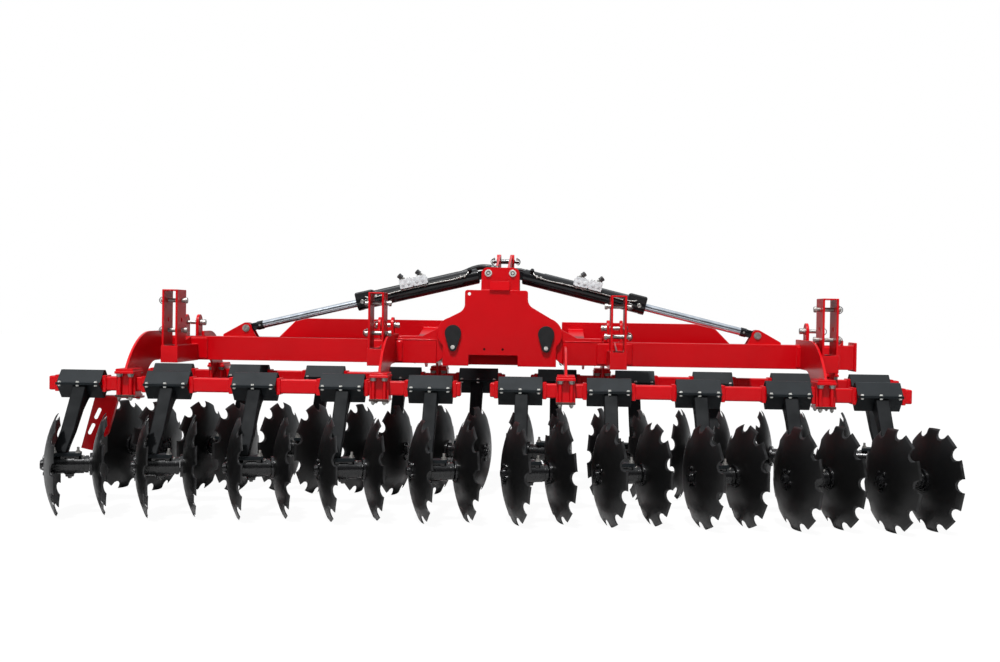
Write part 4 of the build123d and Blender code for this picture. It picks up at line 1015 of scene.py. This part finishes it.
def blade():
    """One blade about the upright, hollow side down, its flat centre's underside at the origin."""
    corner = asin(NOTCH_R / BLADE_R)
    middle = BLADE_R * cos(corner)
    rim = []
    for tooth in range(TEETH):
        turn = 2 * pi / TEETH * tooth
        for k in range(NOTCH_STEPS + 1):
            angle = -pi / 2 - pi * k / NOTCH_STEPS
            x = middle + NOTCH_R * cos(angle)
            y = NOTCH_R * sin(angle)
            rim.append((hypot(x, y), atan2(y, x) + turn))
        for k in range(1, TOOTH_STEPS):
            share = k / TOOTH_STEPS
            angle = corner + share * (2 * pi / TEETH - 2 * corner)
            rim.append((BLADE_R - TOOTH_FLAT * sin(pi * share), angle + turn))
    bpy.ops.object.select_all(action="DESELECT")
    bpy.ops.mesh.primitive_circle_add(vertices=len(rim), radius=BLADE_R, fill_type="NOTHING")
    piece = bpy.context.object
    open_up(piece)
    shape = bmesh.from_edit_mesh(piece.data)
    order = sorted(shape.verts, key=lambda v: atan2(v.co.y, v.co.x) % (2 * pi))
    spots = sorted(rim, key=lambda spot: spot[1] % (2 * pi))
    for vert, (radius, angle) in zip(order, spots):
        vert.co = (radius * cos(angle), radius * sin(angle), dish_height(radius) - GROUND)
    bmesh.update_edit_mesh(piece.data)
    for inner in (None, *RINGS):
        bpy.ops.mesh.extrude_region_move()
        shape = bmesh.from_edit_mesh(piece.data)
        for vert in shape.verts:
            if vert.select:
                radius = hypot(vert.co.x, vert.co.y)
                new = radius - GROUND_LONG if inner is None else inner + (radius - inner) * 0.06 * (inner > 0.2)
                vert.co = (vert.co.x * (new / radius), vert.co.y * (new / radius), dish_height(new))
        bmesh.update_edit_mesh(piece.data)
    bpy.ops.mesh.edge_face_add()
    bpy.ops.mesh.select_all(action="SELECT")
    bpy.ops.mesh.normals_make_consistent(inside=False)
    bpy.ops.mesh.extrude_region_move(TRANSFORM_OT_translate={"value": (0, 0, -BLADE_T)})
    shape = bmesh.from_edit_mesh(piece.data)
    for vert in shape.verts:
        radius = hypot(vert.co.x, vert.co.y)
        if vert.select and radius > GROUND_R and abs(dish_height(radius) - GROUND - BLADE_T - vert.co.z) < 0.0002:
            vert.co.z += GROUND
    bmesh.update_edit_mesh(piece.data)
    close_up()
    put(piece, moved(0, 0, BLADE_T))
    piece.data.materials.append(blade_black)
    piece.data.materials.append(blade_rim)
    for face in piece.data.polygons:
        spots = [piece.data.vertices[v].co for v in face.vertices]
        far = sum(hypot(p.x, p.y) for p in spots) / len(spots)
        depth = sum(p.z - BLADE_T - dish_height(hypot(p.x, p.y)) for p in spots) / len(spots)
        if -0.0034 < depth < -0.0004 and far > GROUND_R + 0.001:
            face.material_index = 1
    return shade(piece, 24)


def blade_set():
    """Both blades of a hub about the upright, with their flanges, bolts and end covers."""
    half = BLADE_GAP / 2
    upper = put(blade(), moved(0, 0, half))
    lower = twin("lower_blade", upper, moved(0, 0, -BLADE_GAP))
    metal = joined("flanges", [
        put(turned("flange", FLANGE, 40), moved(0, 0, -half + BLADE_T)),
        put(turned("flange", FLANGE, 40), moved(0, 0, half - FLANGE_T)),
        put(turned("cover", COVER, 28), moved(0, 0, half + BLADE_T)),
        turned_at("cover", COVER, 28, (0, 0, -half), (0, 0, -1)),
    ])
    spots = []
    for k in range(BLADE_BOLTS):
        angle = 2 * pi * k / BLADE_BOLTS + 0.3
        x, y = BOLT_RING_R * cos(angle), BOLT_RING_R * sin(angle)
        spots.append(facing((x, y, half + BLADE_T), (0, 0, 1), k))
        spots.append(facing((x, y, -half), (0, 0, -1), k * 2))
    bolts = copies("blade_bolts", hex_bolt("blade_bolt", 0.018, 0.009, metal=hub_gloss), spots)
    return joined("blade_set", [upper, lower, shade(metal, 35, hub_gloss), bolts])


master = blade_set()
for side, row, number, hub, axis, _ in pairs:
    node = f"{side}_{row}_discs_{number}"
    half_tooth = pi / TEETH if ((number - 1) * 3 + len(row)) % 4 < 2 else 0
    up = Vector((0, 0, 1))
    stand = Matrix((up, axis.cross(up), axis)).transposed().to_4x4()
    place = moved(*hub) @ stand @ Matrix.Rotation(half_tooth, 4, "Z")
    fit(twin(f"{side}_{row}_blades_{number}", master, place), None, node, node)
bpy.data.objects.remove(master)

# ---- Folding cylinders ----
# Each cylinder is a turned barrel in gloss black with a screwed gland, a chromed rod and a black rod eye.
# A sleeve of black hoses lies on its back, and a steel pipe in silver clips runs beside that to the gland.
BARREL_R = 0.048
BARREL_START = 0.066
BARREL_LONG = 0.845
GLAND_LONG = 0.034
EYE_R = (0.0335, 0.0359)  # at its chamfers and between them
ROD_R = 0.024
ROD_START = 0.690
SLEEVE_R = 0.0185
SLEEVE_UP = {"left": 0.040, "right": 0.035}
SLEEVE_AWAY = 0.067  # sleeve's middle from the barrel's
SLEEVE_ALONG = (0.190, 0.240, 0.360, 0.480, 0.600, 0.720, 0.842)
HOSE_ENDS = (0.165, 0.215)  # where a hose comes down into the sleeve
GUARD_LOW = (-0.050, 0.010, 0.730)
GUARD_HIGH = (0.050, 0.0640, 0.846)
PORT_ASIDE = 0.030
PORT_UP = 0.034
PIPE_R = 0.0038
PIPE_WAY = (
    (0.037, 0.042, 0.118), (0.0500, 0.0240, 0.132), (0.0512, 0.0150, 0.165), (0.0512, 0.0145, 0.350),
    (0.0512, 0.0145, 0.560), (0.0512, 0.0150, 0.745), (0.0500, 0.0240, 0.778), (0.037, 0.042, 0.790),
)
CLIPS_ALONG = (0.150, 0.176, 0.402, 0.444, 0.716)
CLIP_TURN = -1.27
barrel_gloss = finish_of("barrel_gloss_black", (0.004, 0.004, 0.005), (0.006, 0.006, 0.007), 12, (0.16, 0.24), 300,
                         0.08, coat=0.22, shine=0.32)
hose_black = finish_of("hose_black", (0.006, 0.006, 0.007), (0.009, 0.009, 0.010), 60, (0.34, 0.46), 260, 0.3,
                       shine=0.4)
# The rod's chrome carries a painted blue sky reflection in its base colour, over the metal's own grey.
chrome_painted_sky = finish_of("chrome_rod", (0.66, 0.70, 0.76), (0.58, 0.62, 0.68), 20, (0.20, 0.27), 500, 0.03, metal=1.0)
cylinders = {}
landings = {}
for swing, slide in zip(swings, [j for j in frame["joints"] if j["name"].endswith("_rod_slide")]):
    side = swing["name"].split("_")[0]
    out = -1 if side == "left" else 1
    pivot = Vector(swing["pos_m"])
    along = Vector(slide["axis"])
    back = Vector((0, -1, 0))
    up = along.cross(back) if along.cross(back).z > 0 else back.cross(along)
    stand = moved(*pivot) @ Matrix((up.cross(along), up, along)).transposed().to_4x4()
    rear_way = 1 if (stand @ Vector((1, 0, 0, 0))).y < 0 else -1
    cylinders[side] = (stand, rear_way)

    tube_end = BARREL_LONG - BARREL_START
    gland = BARREL_LONG - GLAND_LONG
    tube = put(turned("barrel", (
        (0.040, 0.004), (BARREL_R - 0.001, 0.010), (BARREL_R, 0.014), (BARREL_R, gland - BARREL_START),
        (0.0496, gland - 0.065), (0.0499, BARREL_LONG - 0.069), (BARREL_R, tube_end), (0.0300, tube_end),
        (0.0262, BARREL_LONG - 0.072),
    ), 48), moved(0, 0, BARREL_START))
    eye = ((EYE_R[0], 0.002), (EYE_R[1], 0.004), (EYE_R[1], 0.056), (EYE_R[0], 0.0598))
    body = [
        tube, turned_at("base_eye", eye, 36, (-0.0299, 0, 0), (1, 0, 0)),
        box_of("base_neck", (-0.0295, -0.0265, 0.010), (0.0295, 0.0265, 0.068), 0.004),
        put(turned("base_seam", ((BARREL_R, 0.0016), (0.0494, 0.0032), (BARREL_R, 0.0052)), 40),
            moved(0, 0, 0.0745)),
    ]
    for tail, at in (
        (((0.0145, 0.016), (0.0120, 0.018), (0.0120, 0.026)), PIPE_WAY[0][2] - 0.006),
        (((0.0145, 0.014), (0.0110, 0.016)), PIPE_WAY[-1][2]),
    ):
        body.append(turned_at("port", ((0.0135, 0.001), (0.0145, 0.003), *tail), 6,
                              (rear_way * PORT_ASIDE, PORT_UP, at), (rear_way * 0.7, 0.72, 0)))
    whole = put(finished(f"{side}_barrel_turned", body, 35), stand)
    fit(whole, barrel_gloss, f"{side}_barrel", f"{side}_barrel")

    reach = (Vector((out * LUG_EYE[0], pivot.y, LUG_EYE[1])) - pivot).length
    bar = ((0.0225, 0.002), (ROD_R - 0.0002, 0.004), (ROD_R - 0.0002, reach - 0.100 - ROD_START))
    rod = shade(put(turned("rod", bar, 40), moved(0, 0, ROD_START)), 35, chrome_painted_sky)
    socket = ((0.0255, 0.002), (0.0275, 0.005), (0.0275, 0.036), (0.0250, 0.042), (0.0235, 0.066))
    eye = ((EYE_R[0], 0.002), (0.0358, 0.004), (0.0358, 0.046), (EYE_R[0], 0.0498))
    end = joined("rod_end", [
        put(turned("rod_socket", socket, 36), moved(0, 0, reach - 0.104)),
        box_of("rod_fork", (-0.0225, -0.0225, reach - 0.064), (0.0225, 0.0225, reach - 0.020), 0.004),
        turned_at("rod_eye", eye, 36, (-0.0249, 0, reach), (1, 0, 0)),
    ])
    bolt = hex_bolt("socket_bolt", 0.012, 0.006, False)
    put(bolt, facing((rear_way * 0.0270, 0, reach - 0.084), (rear_way, 0, 0)))
    rod = put(joined(f"{side}_rod_chromed", [rod, shade(end, 35, barrel_gloss), bolt]), stand)
    fit(rod, None, f"{side}_rod", f"{side}_rod")

    sleeve_up = SLEEVE_UP[side]
    aside = -rear_way * sqrt(SLEEVE_AWAY**2 - sleeve_up**2)
    landings[side] = [stand @ Vector((aside, sleeve_up, at)) for at in HOSE_ENDS]
    sleeve = wire("hose_sleeve", [(aside, sleeve_up, at) for at in SLEEVE_ALONG], SLEEVE_R, hose_black)
    guard = box_of("gland_guard", GUARD_LOW, GUARD_HIGH, 0.012, 3)
    guard.data.materials.append(hose_black)
    sleeve = put(joined(f"{side}_hose_sleeve", [sleeve, shade(guard)]), stand)
    fit(sleeve, None, f"{side}_barrel")

    fittings = [wire("pipe", [(rear_way * x, y, z) for x, y, z in PIPE_WAY], PIPE_R, zinc)]
    for at in CLIPS_ALONG:
        clip = box_of("pipe_clip", (-0.0085, -0.0065, at - 0.006), (0.0085, 0.0065, at + 0.006), 0.0025)
        put(clip, moved(rear_way * 0.0500, 0.0150, 0) @ Matrix.Rotation(rear_way * CLIP_TURN, 4, "Z"))
        fittings.append(clip)
    fittings.append(turned_at("gland_port", ((0.0135, 0.003), (0.0125, 0.005), (0.0085, 0.005), (0.0078, 0.002)), 24,
                              (rear_way * 0.0492, 0.0, BARREL_LONG - 0.040), (rear_way, 0, 0)))
    for fitting in fittings[1:]:
        fitting.data.materials.append(zinc)
    run = put(finished(f"{side}_pipe_and_clips", fittings, 40), stand)
    fit(run, None, f"{side}_barrel")

# ---- Valve blocks ----
# A milled aluminium block in two halves hangs over the rear of each barrel from a saddle on its back.
# Hexagon plugs close its ports, and two black adjusting knobs lean outwards from the top.
BLOCK_IN = 0.0478  # inner face, clear of the barrel
BLOCK_OUT = 0.0765
BLOCK_LOW = 0.0215  # clear of the pipe under it
BLOCK_TOP = 0.0790
BLOCK_HALVES = ((0.386, 0.4655), (0.4745, 0.554))
SADDLE_LOW = 0.0483
SADDLE_TOP = 0.0700
PLUG = ((0.0092, 0.0010), (0.0100, 0.0020), (0.0100, 0.0050), (0.0078, 0.0070))
PLUGS_ALONG = (0.408, 0.444, 0.496, 0.532)
NECK = ((0.0120, 0.001), (0.0125, 0.002), (0.0125, 0.012), (0.0085, 0.013), (0.0085, 0.020))
GRIP = (
    (0.0135, 0.001), (0.0165, 0.003), (0.0165, 0.010), (0.0140, 0.011), (0.0140, 0.014), (0.0165, 0.015),
    (0.0165, 0.025), (0.0130, 0.028),
)
KNOBS_ALONG = (0.4133, 0.5267)
SCREWS_ALONG = (0.394, 0.440, 0.484, 0.500, 0.546)
aluminium = finish_of("milled_aluminium", (0.86, 0.87, 0.88), (0.70, 0.71, 0.73), 40, (0.36, 0.48), 600, 0.15,
                      metal=0.45)
for side, _ in SIDES:
    stand, rear_way = cylinders[side]
    low, high = sorted((rear_way * BLOCK_IN, rear_way * BLOCK_OUT))
    middle = (low + high) / 2
    inner, outer_end = sorted((-rear_way * 0.020, rear_way * (BLOCK_IN + 0.001)))
    cast = [box_of("valve_half", (low, BLOCK_LOW, a), (high, BLOCK_TOP, b), 0.002) for a, b in BLOCK_HALVES]
    for lift, a, b in ((0.006, 0.464, 0.476), (0.004, 0.378, 0.390)):
        cast.append(box_of("valve_step", (low + 0.002, BLOCK_LOW + lift, a), (high - 0.002, BLOCK_TOP - 0.014, b),
                           0.002))
    cast.append(box_of("valve_saddle", (inner, SADDLE_LOW, 0.396), (outer_end, SADDLE_TOP, 0.544), 0.002))
    for at in PLUGS_ALONG:
        cast.append(turned_at("port_plug", PLUG, 6, (rear_way * (BLOCK_OUT - 0.0005), 0.050, at), (rear_way, 0, 0)))
    necks = []
    grips = []
    lean = Vector((0, 0.78, 0.62)).normalized()
    for at in KNOBS_ALONG:
        seat = Vector((middle, BLOCK_TOP - 0.003, at - 0.006))
        necks.append(turned_at("knob_neck", NECK, 6, seat, lean))
        grips.append(turned_at("knob_grip", GRIP, 16, seat + lean * 0.017, lean))
    screws = copies("valve_screws", hex_bolt("valve_screw", 0.008, 0.004, False), [
        facing((middle, BLOCK_TOP - 0.0002, at), (0, 1, 0)) for at in SCREWS_ALONG
    ])
    whole = joined(f"{side}_valve_block_milled", [
        finished("valve_body", cast, 35, aluminium), finished("valve_necks", necks, 35, zinc),
        finished("valve_grips", grips, 35, dark_steel), screws,
    ])
    fit(put(whole, stand), None, f"{side}_barrel", f"{side}_valve_block")

# ---- Hoses ----
# Black hoses leave a steel manifold in front of the mast, round its edge and join the barrels' sleeves.
# The one to the left is the thicker. Steel unions hold their ends.
MANIFOLD_LOW = 1.330
MANIFOLD_TOP = 1.404
MANIFOLD_HALF = 0.030
MANIFOLD_Y = (0.083, 0.120)  # ahead of the cylinders' middle plane, as every y here
UNIONS = ((-0.020, 0.096, 0.026), (-0.002, 0.108, 0.018), (0.018, 0.096, 0.020))
HOSE_RUNS = {
    "left": (0.0185, ((-0.066, 0.100, 1.4270), (-0.092, 0.101, 1.4285), (-0.128, 0.098, 1.4285),
                      (-0.170, 0.084, 1.4190))),
    "right": (0.0125, ((0.066, 0.098, 1.4100), (0.090, 0.099, 1.4130), (0.122, 0.096, 1.4120),
                       (0.160, 0.082, 1.4000))),
}
union_steel = finish_of("union_steel", (0.115, 0.115, 0.12), (0.07, 0.07, 0.07), 60, (0.30, 0.44), 500, 0.2,
                        metal=0.5)
hose_y = swings[0]["pos_m"][1]
unions = [box_of("manifold", (-MANIFOLD_HALF, hose_y + MANIFOLD_Y[0], MANIFOLD_LOW),
                 (MANIFOLD_HALF, hose_y + MANIFOLD_Y[1], MANIFOLD_TOP), 0.003)]
for x, y, tall in UNIONS:
    nut = ((0.0085, 0.001), (0.0096, 0.003), (0.0096, tall), (0.0075, tall + 0.003))
    unions.append(put(turned("hose_union", nut, 6), moved(x, hose_y + y, MANIFOLD_TOP - 0.001)))
for side, out in SIDES:
    thick, run = HOSE_RUNS[side]
    x, y, z = run[0]
    unions.append(turned_at("hose_ferrule", (
        (thick * 0.60, 0.001), (thick * 0.72, 0.003), (thick * 0.72, 0.016), (thick * 0.90, 0.018),
        (thick * 0.90, 0.036),
    ), 20, (x - out * 0.034, hose_y + y, z), (out, 0, 0)))
    unions.append(wire("union_elbow", [
        (out * 0.019, hose_y + 0.096, MANIFOLD_TOP + 0.008), (out * 0.022, hose_y + 0.098, z - 0.004),
        (x - out * 0.033, hose_y + y, z),
    ], thick * 0.50, zinc))
for union in unions:
    union.data.materials.clear()
fit(finished("hose_manifold", unions, 35), union_steel, "centre")

for side, out in SIDES:
    thick, run = HOSE_RUNS[side]
    way = [(x, hose_y + y, z) for x, y, z in run] + [tuple(point) for point in landings[side]]
    hose = wire(f"{side}_hose", way, thick, hose_black)
    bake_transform(hose)

# ---- Side deflector ----
# A slotted sheet on a rib, bolted under the outer clamp at the left end. Folded plate in the same red.
SHIELD_BOLTS = ((0.030, 0.4), (0.085, 0.9))  # distance in from the outer end, and turn
SHIELD_BOLT_IN = 0.028
SHIELD_BOLT_UP = 0.318
low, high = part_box("side_deflector")
welded("side_deflector", "side_deflector_cut", "left_wing")
fit(copies("deflector_bolts", hex_bolt("deflector_bolt", 0.019, 0.010), [
    facing((high.x - x, high.y - SHIELD_BOLT_IN, low.z + SHIELD_BOLT_UP), (0, 0, -1), roll)
    for x, roll in SHIELD_BOLTS
]), None, "left_wing")
